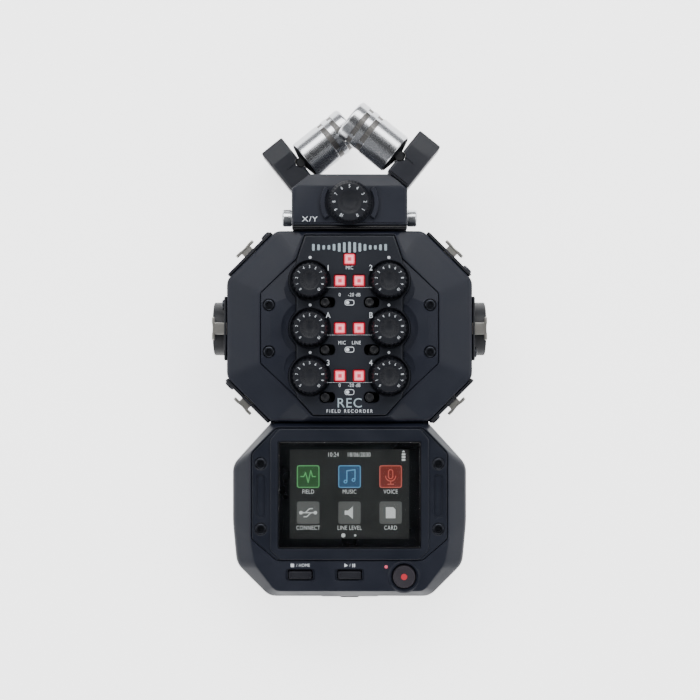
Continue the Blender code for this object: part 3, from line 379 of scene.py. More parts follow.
def framed(place, *axes):
    """A frame at a place, with its X, Y and Z along three directions."""
    return flat_at(*place) @ Matrix(axes).transposed().to_4x4()


def wall_place(x, y, degrees, height):
    """A frame on an upright wall: X along the wall, Y up, Z out of the wall."""
    turn = math.radians(degrees)
    out = Vector((math.cos(turn), math.sin(turn), 0))
    along = Vector((-math.sin(turn), math.cos(turn), 0))
    return framed((x, y, height), along, Vector((0, 0, 1)), out)


def placed(piece, place):
    """Move a piece's mesh from its own frame to where it belongs."""
    piece.data.transform(place)
    return piece


jack_z = centre("xlr_jack_1").z
latch_rise = centre("jack_latch_1").z - jack_z
wall = 0.0022
socket_bore = 0.0109
slot_size = (0.0058, 0.0028, 0.0003)     # width, height and corner radius of a latch's slot
jack_faces = {}
for upper, middle, lower, side in (("2", "b", "4", 1), ("1", "a", "3", -1)):
    for jack, cut, y, slant in ((upper, top_cut, top_y - top_cut / 2, 45), (middle, 0, row_y, 0),
                                (lower, bottom_cut, neck_y + bottom_cut / 2, -45)):
        jack_faces[jack] = wall_place(side * (half_width - cut / 2), y,
                                      slant if side > 0 else 180 - slant, jack_z)


def socket_holes():
    return [placed(round_hole(0, 0, socket_bore, -3 * wall, wall, 0, 40), place)
            for place in jack_faces.values()]


knobs = {key: centre("gain_knob_" + key) for key in ("1", "2", "a", "b", "3", "4")}
well_radius = 0.0085
lobe_radius = 0.0090
waist_x = 0.0222


def panel_edge(grow=0.0, steps=14):
    """The button strip's outline: straight at the waist, swelling round each knob well."""
    edge = [(panel_bottom_half, panel_low.y), (wing_tip_x, wing_low.y)]
    knob_x = knobs["b"].x
    reach = math.degrees(math.acos((waist_x - knob_x) / lobe_radius))
    for key in ("4", "b", "2"):
        edge += arc(knob_x, knobs[key].y, lobe_radius, -reach, reach, steps)
    edge += [(wing_tip_x, wing_high.y), (panel_top_half, panel_high.y)]
    return inset(mirrored(edge), -grow)


wing_edge = mirrored([(wing_tip_x, wing_low.y), (wing_high.x, row_y + wing_shoulder[1]),
                      (wing_high.x, row_y + wing_shoulder[0]), (wing_tip_x, wing_high.y)])
hollow_top_z = panel_low.z - 0.0019
dock_size = (0.0324, 0.0088, 0.0005)     # width, height and corner radius of the dock's opening
upper_tools = socket_holes() + [
    loft("hollow", [level(inset(wall_outline, wall), shell_low.z - wall),
                    level(inset(wall_outline, wall), hollow_top_z)]),
    hole_tool(panel_edge(0.0003), panel_low.z - 0.0003, deck_z, 0.0002),
    hole_tool(round_corners(inset(wing_edge, -0.0003), 0.0008), wing_low.z - 0.0003, deck_z,
              0.0002),
    box_hole(0, row_y - 0.0005, 0.0412, 0.0640, 0.0005, hollow_top_z - wall, panel_low.z, 0),
    box_hole(0, top_y, *dock_size, 0.0130, shell_low.z + 0.0060, 0),
] + [placed(box_hole(0, latch_rise, *slot_size, -3 * wall, wall, 0), place)
     for place in jack_faces.values()]
work(upper_shell, upper_tools, sharp=30)
fit(upper_shell, "root", "housing_plastic", slate, "upper_front_housing")


# ==================================================================== housing of the screen section
# Lower front shell, the same plastic: the bezel round the screen steps down to a strip that holds
# the transport keys. A narrow lip at the neck meets the control section's shell.
low_shell_low, low_shell_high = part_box("lower_front_housing")
screen_half = low_shell_high.x
end_y = low_shell_low.y
shoulder_y = neck_y - 0.0183
hip_y = neck_y - 0.0427
hip_taper = 0.0016
end_half = 0.0340
end_cut = screen_half - hip_taper - end_half
screen_deck_z = low_shell_high.z
screen_right = [(end_half, end_y), (end_half + end_cut, end_y + end_cut), (screen_half, hip_y),
                (screen_half, shoulder_y)]
frame_low, frame_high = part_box("screen_frame")
frame_neck_half = 0.0305
frame_cut_top = 0.0104
frame_cut_bottom = 0.0087
screen_wall_outline = mirrored(screen_right + [(neck_half, low_shell_high.y)])
screen_deck_outline = mirrored([(end_half - 0.0030, end_y + 0.0032),
    (frame_high.x - rim, end_y + end_cut + rim),
    (frame_high.x + rim, frame_low.y + frame_cut_bottom),
    (frame_high.x + rim, frame_high.y - frame_cut_top + rim / 2),
    (frame_neck_half + rim / 2, frame_high.y + rim)])
screen_wall_ring = round_corners(screen_wall_outline, 0.0030)
screen_deck_ring = round_corners(screen_deck_outline, 0.0024)
lower_shell = loft("screen_housing", soften([level(inset(screen_wall_ring, seam), low_shell_low.z),
    level(screen_wall_ring, low_shell_low.z + seam),
    level(screen_wall_ring, screen_deck_z - 0.0060), level(screen_deck_ring, screen_deck_z),
    level(inset(screen_deck_ring, 0.0004), screen_deck_z),], 0.0016), sharp=30)
frame_edge = mirrored([
    (frame_neck_half, frame_low.y), (frame_high.x, frame_low.y + frame_cut_bottom),
    (frame_high.x, frame_high.y - frame_cut_top), (frame_neck_half, frame_high.y)])
stop_key, play_key, record_key = (centre(key + "_button") for key in ("stop", "play", "record"))
key_width, key_height = 0.0096, 0.0032
record_radius = 0.00475
under_z = screen_deck_z - 0.0040
lower_tools = [loft("hollow", [level(inset(screen_wall_outline, wall), low_shell_low.z - wall),
    level(inset(screen_wall_outline, wall), screen_deck_z - 0.0060 - wall),
    level(inset(screen_deck_outline, wall), under_z)]),
    hole_tool(round_corners(inset(frame_edge, -0.0003), 0.0010), frame_low.z - 0.0003,
    screen_deck_z, 0.0002), box_hole(0, centre("touch_glass").y, 0.0554, 0.0405, 0.0005,
    under_z - wall, frame_low.z, 0),]
for key in (stop_key, play_key):
    lower_tools += [box_hole(key.x, key.y, 0.0118, 0.0046, 0.0006, screen_deck_z - 0.0007,
        screen_deck_z, 0.0002), box_hole(key.x, key.y, key_width + 0.0008, key_height + 0.0008,
        0.0005, under_z - wall, screen_deck_z, 0)]
for gap, low, high, flare in ((0.0004, under_z - wall, screen_deck_z, 0.0002),
                              (0.0012, under_z - 0.0042, under_z, 0)):
    lower_tools.append(round_hole(record_key.x, record_key.y, record_radius + gap, low, high,
                                  flare, 48))
work(lower_shell, lower_tools, sharp=30)
fit(lower_shell, "root", "housing_plastic", slate, "lower_front_housing")


# ==================================================================== rear housing
# The back half of the casing: a deep tub of the same plastic with a chamfered back. Bosses inside
# carry the board; the floor has the tripod bush, the battery bay and the speaker's slots.
rear_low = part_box("rear_housing")[0]
split_z = 0.0240     # where the rear shell meets the front ones
body_outline = mirrored(screen_right + [(neck_half, neck_y - 0.0003)] + control_right)
body_ring = round_corners(body_outline, 0.0026)
chamfer = 0.0025
rear_shell = loft("rear_shell", soften([level(inset(body_ring, chamfer), rear_low.z),
    level(body_ring, rear_low.z + 0.0030), level(body_ring, split_z - seam),
    level(inset(body_ring, seam), split_z),], 0.0012), sharp=30)
cover_low, cover_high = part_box("battery_cover")
bay_y = (cover_high.y + end_y) / 2
tripod_y = row_y - 0.0131
wheel_middle = centre("volume_wheel")
slider_middle = centre("power_switch")
end_corner, left_corner = (wall_place(side * (end_half + end_cut / 2), end_y + end_cut / 2, degrees,
    slider_middle.z) for side, degrees in ((1, -45), (-1, 225)))
door_middle = centre("card_door")
tub_top_z = split_z + wall
rear_tools = socket_holes() + [loft("tub", [level(inset(body_outline, wall + chamfer / 2),
    rear_low.z + 0.0020), level(inset(body_outline, wall), rear_low.z + 0.0035),
    level(inset(body_outline, wall), tub_top_z)]), box_hole(0, bay_y - 0.0006, 2 * cover_high.x
    + 0.0008, cover_high.y - end_y + 0.0020, 0.0003, 0, cover_high.z + 0.0004, 0),
    box_hole(0, bay_y, 0.0576, 0.0592, 0.0005, 0, 0.0070, 0), box_hole(0, end_y, 0.0244, 0.0088,
    0.0005, door_middle.z - 0.0014, door_middle.z + 0.0014, 0), box_hole(-screen_half,
    wheel_middle.y, 0.0066, 0.0120, 0.0003, wheel_middle.z - 0.0016, wheel_middle.z + 0.0016, 0),
    placed(box_hole(0, 0, 0.0098, 0.0038, 0.0006, -0.0033, 0, 0.0002), end_corner),
    box_hole(0, top_y, *dock_size, 0.0136, 0.0284, 0),] + [box_hole(column * 0.0030, row_y + 0.0140
    + row * 0.0036, 0.0012, 0.0026, 0.0005, 0, 0.0045, 0) for row in range(3)
    for column in range(-3, 4)]
work(rear_shell, rear_tools, sharp=30)
bush_tool = loft("bush_bore", [level(ring_points(0, tripod_y, 0.0048), z)
                               for z in (rear_low.z - 0.0020, 0.0130)])
work(rear_shell, [bush_tool], sharp=30)
fit(rear_shell, "root", "housing_plastic", slate, "rear_housing")


# ==================================================================== control panel
# The button strip: a darker moulding let into the deck. It has a deep round well for each gain
# knob, square holes for the lit buttons and slots for the slide switches. Its marks are white pad
# printing; a row of level bars stands where a maker would put a name.
panel_plastic = moulded_plastic("panel_plastic", (0.0050, 0.0068, 0.0122), roughness=0.52)
panel_top_z = panel_high.z
well_floor_z = panel_top_z - 0.0024
control_panel = plate("control_panel_strip", panel_edge(), panel_low.z, panel_top_z, edge=0.0006)
buttons = {key: centre("track_button_" + key) for key in ("mic", "1", "2", "a", "b", "3", "4")}
button_size = 0.0044
switches = {key: centre("pad_switch_" + key) for key in knobs}
panel_tools = []
for key, knob in knobs.items():
    slot_x = math.copysign(0.00925, knob.x)
    slot_y = switches[key].y
    panel_tools += [round_hole(knob.x, knob.y, well_radius, well_floor_z, panel_top_z, 0.0002, 64),
        round_hole(knob.x, knob.y, 0.0034, panel_low.z - wall, well_floor_z, 0, 24),
        hole_tool(round_corners(box_points(slot_x, slot_y, 0.0064, 0.0045, 0.0020), 0.0001, 1),
        panel_low.z - wall, panel_top_z, 0.0002)]
for button in buttons.values():
    panel_tools.append(box_hole(button.x, button.y, button_size + 0.0008, button_size + 0.0008,
                                0.0007, panel_low.z - wall, panel_top_z, 0.0001))
work(control_panel, panel_tools)
fit(control_panel, "root", "panel_plastic", panel_plastic, "control_panel")

ink_depth = 0.00006
white_ink = moulded_plastic("white_printing", (0.62, 0.66, 0.70), roughness=0.55, grain=0.0001,
                            depth=0.05)
grey_ink = moulded_plastic("blue_grey_printing", (0.30, 0.37, 0.41), roughness=0.5, grain=0.0001,
                           depth=0.05)


def letters(bm, words, size, place, narrow=1.0, spacing=1.0):
    """Add thin raised letters, centred on a place, to a mesh under construction."""
    curve = bpy.data.curves.new("letters", "FONT")
    curve.body = words
    curve.size = size
    curve.align_x = "CENTER"
    curve.align_y = "CENTER"
    curve.space_character = spacing
    curve.extrude = ink_depth / 2
    curve.resolution_u = 3
    held = linked("letters", curve)
    bpy.context.view_layer.update()
    seen = held.evaluated_get(bpy.context.evaluated_depsgraph_get())
    mesh = bpy.data.meshes.new_from_object(seen)
    mesh.transform(place @ Matrix.Diagonal((narrow, 1, 1, 1)))
    bm.from_mesh(mesh)
    bpy.data.objects.remove(held)
    bpy.data.meshes.remove(mesh)


def printed_shape(bm, outline, height):
    """Add a flat printed patch to a mesh under construction."""
    skin(bm, [level(outline, height - ink_depth / 2), level(outline, height + ink_depth / 2)])


def band(bm, outer, inner, low, high):
    """Add a closed band between two outlines with the same number of points."""
    skin(bm, [level(outer, high), level(inner, high), level(inner, low), level(outer, low)], True)


def printed_ring(bm, outer, inner, height):
    band(bm, outer, inner, height - ink_depth / 2, height + ink_depth / 2)


def printing(bm, name, ink, body="root", slot="panel_plastic"):
    bmesh.ops.recalc_face_normals(bm, faces=bm.faces)
    return fit(meshed(bm, name), body, slot, ink)


ink_z = panel_top_z + ink_depth / 2
marks = bmesh.new()
for key, knob in knobs.items():
    printed_shape(marks, ring_points(knob.x, knob.y + 0.0097, 0.00062, 16), ink_z)
    side = math.copysign(1, knob.x)
    letters(marks, key.upper(), 0.0034, flat_at(side * 0.0089, knob.y + 0.0053, ink_z), 0.9)
    printed_shape(marks, box_points(side * 0.0048, knob.y - 0.0028, 0.0096, 0.00011, 0.00003),
                  ink_z)
for words, caption_y in (("MIC", buttons["mic"].y - 0.0036), ("0     -20 dB", row_y + 0.0139),
                         ("MIC    LINE", row_y - 0.0061), ("0     -20 dB", row_y - 0.0238)):
    letters(marks, words, 0.0021, flat_at(0, caption_y, ink_z), 0.85, 1.1)
for icon_y in (row_y + 0.0107, row_y - 0.0089, row_y - 0.0266):
    pill = round_corners(box_points(0, icon_y, 0.0040, 0.0024, 0.0011), 0.0001, 1)
    printed_ring(marks, pill, inset(pill, 0.00025), ink_z)
    printed_shape(marks, ring_points(-0.0008, icon_y, 0.00072, 16), ink_z)
letters(marks, "FIELD RECORDER", 0.0020, flat_at(0, panel_low.y + 0.0016, ink_z), 0.9, 1.45)
printing(marks, "panel_marks", white_ink)
sign = bmesh.new()
bar_count = 15
for k in range(bar_count):
    reach = (k - (bar_count - 1) / 2) / (bar_count / 2)
    bar_height = 0.0046 * (0.30 + 0.70 * abs(math.cos(2.6 * reach)) * (1 - 0.45 * abs(reach)))
    printed_shape(sign, box_points((k - (bar_count - 1) / 2) * 0.00215, panel_high.y - 0.0050,
                                   0.0011, bar_height, 0.0004), ink_z)
letters(sign, "REC", 0.0056, flat_at(0, panel_low.y + 0.0049, ink_z), 1.0, 1.1)
printing(sign, "panel_sign", grey_ink)


# ==================================================================== gain knobs
# Six potentiometer knobs in satin rubberised plastic. Each is turned, fluted round its skirt and
# dished on top; a ring of figures 0 to 10 round the dish is filled white and turns with the knob.
knob_rubber = moulded_plastic("knob_rubber", (0.0042, 0.0052, 0.0085), roughness=0.50,
                              grain=0.00018, depth=0.06, specular=0.25)


def spots_from(x, y, *pairs):
    """Points given in millimetres from a middle."""
    return [(x + i / 1000, y + j / 1000) for i, j in pairs]


def turned_piece(name, profile, place=Matrix(), steps=64, flutes=0, flute_depth=0.0,
                 flute_range=(0.0, 0.0), sharp=38):
    """Turn a profile of (radius, height) points, top to bottom; flutes scallop part of the side."""
    bm = bmesh.new()
    rings = []
    for radius, height in profile:
        if radius == 0:
            rings.append([bm.verts.new((0, 0, height))])
            continue
        ring = []
        for k in range(steps):
            turn = 2 * math.pi * k / steps
            reach = radius
            if flutes and flute_range[0] <= height <= flute_range[1]:
                reach -= flute_depth * (0.5 + 0.5 * math.cos(flutes * turn)) ** 2
            ring.append(bm.verts.new((reach * math.cos(turn), reach * math.sin(turn), height)))
        rings.append(ring)
    for upper, lower in zip(rings, rings[1:]):
        for k in range(steps):
            if len(upper) == 1:
                bm.faces.new((upper[0], lower[k - 1], lower[k]))
            elif len(lower) == 1:
                bm.faces.new((upper[k - 1], lower[0], upper[k]))
            else:
                bm.faces.new((upper[k - 1], lower[k - 1], lower[k], upper[k]))
    return placed(shade_solid(bm, name, sharp), place)


def figure_ring(bm, radius, height, size, place, first=-135, last=135, count=11):
    """Figures 0 to 10 round a knob, clockwise from the lower left."""
    for k in range(count):
        turn = math.radians(90 - (first + (last - first) * k / (count - 1)))
        spot = place @ flat_at(radius * math.cos(turn), radius * math.sin(turn), height)
        letters(bm, str(k), size, spot @ Matrix.Rotation(turn - math.pi / 2, 4, "Z"), 0.8)


def level_knob(name, node, body, x, y, radius, top_z, foot_z, shaft_z, flutes, rubber, sweep=135):
    """A fluted knob with a dished face and a ring of figures."""
    low = foot_z + 0.0004
    face = radius * 0.84
    knob = turned_piece(name, [(0, top_z - 0.0012), (radius * 0.20, top_z - 0.00112),
        (radius * 0.36, top_z - 0.00082), (radius * 0.46, top_z - 0.00035),
        (radius * 0.51, top_z - 0.00008), (radius * 0.55, top_z), (face - 0.0003, top_z),
        (face, top_z - 0.0001), (face + 0.0002, top_z - 0.0004), (face + 0.0004, top_z - 0.0012),
        (radius - 0.0002, low + 0.0022), (radius, low + 0.0016), (radius, low + 0.0003),
        (radius - 0.0003, low), (0.0030, low), (0.0030, shaft_z), (0, shaft_z)], flat_at(x, y, 0),
        steps=120, flutes=flutes, flute_depth=0.00042, flute_range=(low + 0.0017, top_z - 0.0003),
        sharp=42)
    fit(knob, body, "knob_rubber", rubber, node)
    figures = bmesh.new()
    figure_ring(figures, radius * 0.70, top_z + ink_depth / 2, radius * 0.21, flat_at(x, y, 0),
                -sweep, sweep)
    printing(figures, name + "_figures", white_ink, body, "knob_rubber")


for key, knob in knobs.items():
    node = "gain_knob_" + key
    low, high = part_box(node)
    level_knob("gain_knob_cap_" + key, node, node, knob.x, knob.y, 0.0077, high.z, well_floor_z,
               low.z, 24, knob_rubber)


# ==================================================================== lit track buttons
# Square keys moulded in clear silicone over red lamps: each glows pale pink over its face, redder
# at the edge, with a small red square lens in the middle. They pass through the strip.
def colour_ramp(add, source, *stops):
    """Turn a value into a colour that changes from stop to stop."""
    colour = add("ValToRGB", {"Fac": source})["Color"]
    marks = colour.node.color_ramp.elements
    for mark, (position, tone) in zip(marks, (stops[0], stops[-1])):
        mark.position, mark.color = position, (*tone, 1)
    for position, tone in stops[1:-1]:
        marks.new(position).color = (*tone, 1)
    return colour


def lit_silicone(name, glow):
    made, add, place = look(name)
    split = add("SeparateXYZ", {"Vector": place["Object"]})

    def maths(operation, *values):
        return add("Math", dict(enumerate(values)), operation=operation)["Value"]

    reach = maths("MAXIMUM", maths("ABSOLUTE", split["X"]), maths("ABSOLUTE", split["Y"]))
    frost = add("TexNoise", {"Scale": 2500, "Vector": place["Object"]})["Fac"]
    share = maths("ADD", maths("DIVIDE", reach, button_size / 2),
                  maths("MULTIPLY", maths("SUBTRACT", frost, 0.5), 0.12))
    colour = colour_ramp(add, share, (0.0, (0.62, 0.05, 0.10)), (0.26, (0.66, 0.04, 0.08)),
                         (0.42, (1.0, 0.34, 0.40)), (0.58, (1.0, 0.40, 0.45)),
                         (0.80, (0.90, 0.10, 0.15)), (1.0, (0.55, 0.015, 0.035)))
    add("shader", {"Base Color": colour, "Emission Color": colour, "Emission Strength": glow,
                   "Roughness": 0.35})
    return made


silicone = lit_silicone("lit_silicone", 0.42)
for key, button in buttons.items():
    node = "track_button_" + key
    low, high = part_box(node)
    cap = plate("track_key_" + key, box_points(0, 0, button_size, button_size, 0.0007),
                low.z - high.z, 0, edge=0.0004)
    lens = plate("lens", box_points(0, 0, 0.0014, 0.0014, 0.0002), -0.0008, 0.00015, edge=0.0001)
    lip = plate("lip", box_points(0, 0, button_size + 0.0016, button_size + 0.0016, 0.0008),
                low.z - high.z, low.z - high.z + 0.0008)
    work(cap, [lens, lip], "UNION")
    cap.location = (button.x, button.y, high.z)
    fit(cap, node, "lit_button", silicone, node)


# ==================================================================== pad and line switches
# Six round-knobbed slide switches in black acetal, two positions each, let into the strip.
acetal = moulded_plastic("black_acetal", (0.0085, 0.0090, 0.0110), roughness=0.38, grain=0.0004,
                         depth=0.05)
for key, switch in switches.items():
    node = "pad_switch_" + key
    low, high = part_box(node)
    stub = turned_piece("pad_slider_" + key, [(0, high.z - 0.0002), (0.0008, high.z - 0.00015),
        (0.0012, high.z), (0.0015, high.z), (0.00172, high.z - 0.0001), (0.00185, high.z - 0.0004),
        (0.00185, low.z), (0, low.z)], flat_at(switch.x, switch.y, 0), steps=40)
    tray = plate("tray", box_points(switch.x, switch.y, 0.0053, 0.0053, 0.0006), low.z,
                 low.z + 0.0008)
    work(stub, [tray], "UNION")
    fit(stub, node, "button_plastic", acetal, node)


# ==================================================================== wing plates
# Two thin cover plates beside the button strip, in the housing's plastic. Their faces break into
# three facets and are scooped out round the knobs. Each is held by two socket screws in recesses.
def facet_tool(spot, lean_x, lean_y):
    """A big block that takes off what lies above a leaning plane through a spot."""
    tool = loft("facet", [level(box_points(0, 0, 0.12, 0.12, 0.001), z) for z in (0, 0.02)])
    tilt = Vector((0, 0, 1)).rotation_difference(Vector((lean_x, lean_y, 1)).normalized())
    return placed(tool, Matrix.Translation(spot) @ tilt.to_matrix().to_4x4())


def copies(first, spots):
    """Put copies of a screw's head at named places, and drop the first one."""
    for name, place in spots.items():
        made = linked(name, first.data)
        made.matrix_world = place
        fit(made, "root", "latch_nickel", black_screw)
    bpy.data.objects.remove(first)


def screw_head(radius, height, drive, cross=False):
    """A screw's head with its underside at zero: a hexagon socket, or a cross."""
    head = turned_piece("screw", [
        (0, height), (radius * 0.74, height), (radius * 0.90, height * 0.86),
        (radius * 0.98, height * 0.62), (radius, height * 0.35), (radius, 0), (0, 0)], steps=36)
    if cross:
        tools = [box_hole(0, 0, *size, 0.0001, height * 0.3, height, 0.00005)
                 for size in ((2 * drive, drive * 0.42), (drive * 0.42, 2 * drive))]
    else:
        tools = [round_hole(0, 0, drive, height * 0.2, height, 0.00008, 6)]
    return work(head, tools, sharp=32)


def metal(name, colour, roughness, grain=(2400, 2400, 2400), wear=0.10):
    """Bare or plated metal: fine drawn or blasted grain in its gloss, and faint darker handling."""
    made, add, place = look(name)
    stretch = add("Mapping", {"Scale": grain, "Vector": place["Object"]})["Vector"]
    fine = add("TexNoise", {"Scale": 1.0, "Detail": 2, "Vector": stretch})["Fac"]
    slow = add("TexNoise", {"Scale": 260, "Vector": place["Object"]})["Fac"]
    gloss = add("MapRange", {"To Min": roughness * 0.7, "To Max": roughness * 1.3, "Value": fine})
    shade = add("Mix", {"A": [c * (1 - wear) for c in colour], "B": colour, "Factor": slow},
                data_type="RGBA")
    bump = add("Bump", {"Strength": 0.06, "Distance": 0.00003, "Height": fine})
    add("shader", {"Metallic": 1.0, "Roughness": gloss["Result"], "Base Color": shade["Result"],
                   "Normal": bump["Normal"]})
    return made


black_screw = metal("black_screw_steel", (0.026, 0.028, 0.034), 0.36)
wing_screw_x = 0.0337
wing_screw_gap = 0.0098
wing_seat_z = 0.0395     # the screws' seats
wing_top_z = wing_high.z
wing_spots = {}
half = [(0.0120, wing_low.y)] + [(x, y) for x, y in wing_edge if x > 0] + [(0.0120, wing_high.y)]
for side_name, side in sides:
    wing = plate("wing_cover_" + side_name, half, wing_low.z, wing_top_z, edge=0.0003)
    tools = [hole_tool(panel_edge(0.0003), wing_low.z - wall, wing_top_z, 0.0002),
             facet_tool((0.0300, row_y + 0.0112, wing_top_z), 0.050, 0.125),
             facet_tool((0.0300, row_y - 0.0112, wing_top_z), 0.030, -0.100),
             facet_tool((0.0330, row_y, wing_top_z), 0.085, 0)]
    for key in ("2", "b", "4"):
        knob = knobs[key]
        tools.append(turned_piece("scoop", spots_from(0, wing_top_z, (0, 0.6), (12.8, 0.6),
            (12.2, 0), (11.2, -0.6), (10, -0.9), (8.6, -1), (0, -1)), flat_at(knob.x, knob.y, 0),
            steps=96))
    for end_name, end in ends:
        spot = flat_at(wing_screw_x, row_y + end * wing_screw_gap, 0)
        tools.append(turned_piece("recess", [
            (0, wing_top_z + 0.0006), (0.0034, wing_top_z + 0.0006), (0.0026, wing_top_z - 0.0003),
            (0.0026, wing_seat_z), (0, wing_seat_z)], spot, steps=48))
        wing_spots["wing_screw_%s_%s" % (side_name, end_name)] = flat_at(
            side * wing_screw_x, row_y + end * wing_screw_gap, wing_seat_z)
    for tool in tools:
        work(wing, [tool], sharp=26)
    if side < 0:
        placed(wing, Matrix.Diagonal((-1, 1, 1, 1)))
        wing.data.flip_normals()
    fit(wing, "root", "housing_plastic", slate, side_name + "_wing_plate")
copies(screw_head(0.00235, 0.0009, 0.00115), wing_spots)


# ==================================================================== sockets
# Four three-pin sockets on the slanting faces, with black flanges, and two combination sockets on
# the sides, which stand out in round collars. Inside are a shell gap, an insert with gilt contacts
# and, in the combination ones, a 6.35 mm bore. Two screws hold each flange to the wall.
def tube(bm, x, y, outer, inner, low, high, count=24):
    """Add a short tube to a mesh under construction."""
    band(bm, *(ring_points(x, y, radius, count) for radius in (outer, inner)), low, high)


socket_black = moulded_plastic("socket_nylon", (0.0058, 0.0066, 0.0098), roughness=0.52,
                               grain=0.0003, depth=0.08)
insert_grey = moulded_plastic("socket_insert", (0.0140, 0.0145, 0.0170), roughness=0.36,
                              grain=0.0003, depth=0.05)
gilt = metal("gilt_contacts", (0.78, 0.56, 0.24), 0.28)
flange_seat = 0.0003
body_radius, body_end_z = 0.0105, -0.0120     # the socket's body, behind its flange
flange_spots = {}


def jack_socket(key, combo):
    name = ("combo_jack_" if combo else "xlr_jack_") + key
    width, thick = (0.0270, 0.00085) if combo else (0.0256, 0.0012)
    front = flange_seat + thick
    face = jack_faces[key]
    flange = plate(name + "_body", box_points(0, 0, width, 0.0300, 0.0018), flange_seat, front,
                   edge=0.0003)
    outer, mouth = (0.0114, 0.0064) if combo else (body_radius, front + 0.0004)
    insert_front = 0.0056 if combo else front - 0.0002
    back = insert_front - 0.0100
    body = turned_piece("body", [(0, mouth), (outer - 0.0005, mouth),
        (outer - 0.00015, mouth - 0.00015), (outer, mouth - 0.0005), (outer, flange_seat + 0.0002),
        (body_radius, flange_seat + 0.0002), (body_radius, body_end_z), (0, body_end_z)], steps=80)
    work(flange, [body], "UNION", 32)
    cavity = turned_piece("cavity", [(0, mouth + 0.001), (0.0098, mouth + 0.001),
        (0.0093, mouth - 0.0004), (0.0093, back), (0, back)], steps=80)
    slot_tool = box_hole(0, latch_rise, *slot_size, body_end_z - 0.001, mouth + 0.001, 0)
    work(flange, [cavity, slot_tool], sharp=32)
    fit(placed(flange, face), "root", "socket_plastic", socket_black, name)
    insert = turned_piece(name + "_insert", [
        (0, insert_front), (0.0075, insert_front), (0.0079, insert_front - 0.0002),
        (0.0080, insert_front - 0.0006), (0.0080, back - 0.0006), (0, back - 0.0006)], steps=80)
    angles, circle = ((30, 150, 270), 0.00565) if combo else ((90, 180, 270), 0.0045)
    holes = []
    contacts = bmesh.new()
    for degrees in angles:
        x, y = circle * math.cos(math.radians(degrees)), circle * math.sin(math.radians(degrees))
        holes.append(round_hole(x, y, 0.0012, back + 0.0015, insert_front, 0.0002, 24))
        tube(contacts, x, y, 0.00118, 0.0009, back + 0.0016, insert_front - 0.0012)
    if combo:
        holes.append(round_hole(0, 0, 0.0033, back - 0.0002, insert_front, count=48))
        tube(contacts, 0, 0, 0.00328, 0.0029, back, back + 0.0030, 48)
    else:
        holes.append(box_hole(0, -0.0080, 0.0022, 0.0016, 0.0003, back - 0.001, insert_front,
                              0.0001))
        tube(contacts, 0, 0, 0.0016, 0.0011, insert_front - 0.0004, insert_front + 0.00012)
    work(insert, holes, sharp=32)
    fit(placed(insert, face), "root", "socket_plastic", insert_grey)
    fit(placed(shade_solid(contacts, name + "_contacts"), face), "root", "latch_nickel", gilt)
    for end_name, end in ends:
        flange_spots["flange_screw_%s_%s" % (key, end_name)] = face @ flat_at(
            -end * 0.0100, end * 0.0120, front)


for key in "1234ab":
    jack_socket(key, key in "ab")
copies(screw_head(0.0022, 0.00095, 0.0013, cross=True), flange_spots)


# ==================================================================== socket latches
# Pressed and nickel-plated steel push tabs over the sockets: a dished thumb plate on a flat stem
# that slides in the socket's slot against a spring.
nickel = metal("satin_nickel", (0.50, 0.49, 0.46), 0.33, (900, 5200, 5200))
for key, face in jack_faces.items():
    reach = 0.0064 if key in ("a", "b") else 0.0046
    stem = plate("jack_release_" + key, box_points(0, latch_rise, 0.0050, 0.0020, 0.0004),
                 -0.0044, reach - 0.0008, edge=0.0002)
    thumb = plate("thumb", box_points(0, latch_rise, 0.0098, 0.0028, 0.0008), reach - 0.0012,
                  reach, edge=0.0003)
    dish = loft("dish", [[(x * 0.0036, latch_rise + y, reach + 0.0009 + z * 0.0013)
                          for x, z in ring_points(0, 0, 1, 24)] for y in (-0.003, 0.003)])
    work(stem, [thumb], "UNION", 32)
    work(stem, [dish], sharp=32)
    fit(placed(stem, face), "jack_latch_" + key, "latch_nickel", nickel, "jack_latch_" + key)


# ==================================================================== screen frame
# A moulded surround over the glass, in the housing's plastic but a darker copy of it, as painted
# shade:
# a raised bezel round the window, and lower wings at the sides with a shallow trough between their
# two recessed socket screws.
glass_low, glass_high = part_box("touch_glass")
glass_y = (glass_low.y + glass_high.y) / 2
glass_width, glass_height = glass_high.x - glass_low.x, glass_high.y - glass_low.y
frame_top_z = frame_high.z
bezel_half = 0.0332
wing_drop = 0.0007
surround = plate("screen_surround", round_corners(frame_edge, 0.0008), frame_low.z,
                 frame_top_z - wing_drop, edge=0.0003)
bezel = plate("bezel", round_corners(mirrored([
    (bezel_half - 0.0044, frame_low.y), (bezel_half, frame_low.y + 0.0042),
    (bezel_half, frame_high.y - 0.0046), (frame_neck_half - 0.0011, frame_high.y)]), 0.0010),
    frame_low.z + 0.0004, frame_top_z, edge=0.0005, steps=4)
work(surround, [bezel], "UNION", 30)
frame_tools = [box_hole(0, glass_y, glass_width + 0.0006, glass_height + 0.0006, 0.0008,
                        frame_low.z - wall, frame_top_z, 0.00035)]
frame_screw_x = frame_high.x - 0.0035
frame_screw_y = (frame_high.y - frame_cut_top - 0.0042, frame_low.y + frame_cut_bottom + 0.0042)
frame_seat_z = frame_top_z - 0.0012
frame_spots = {}
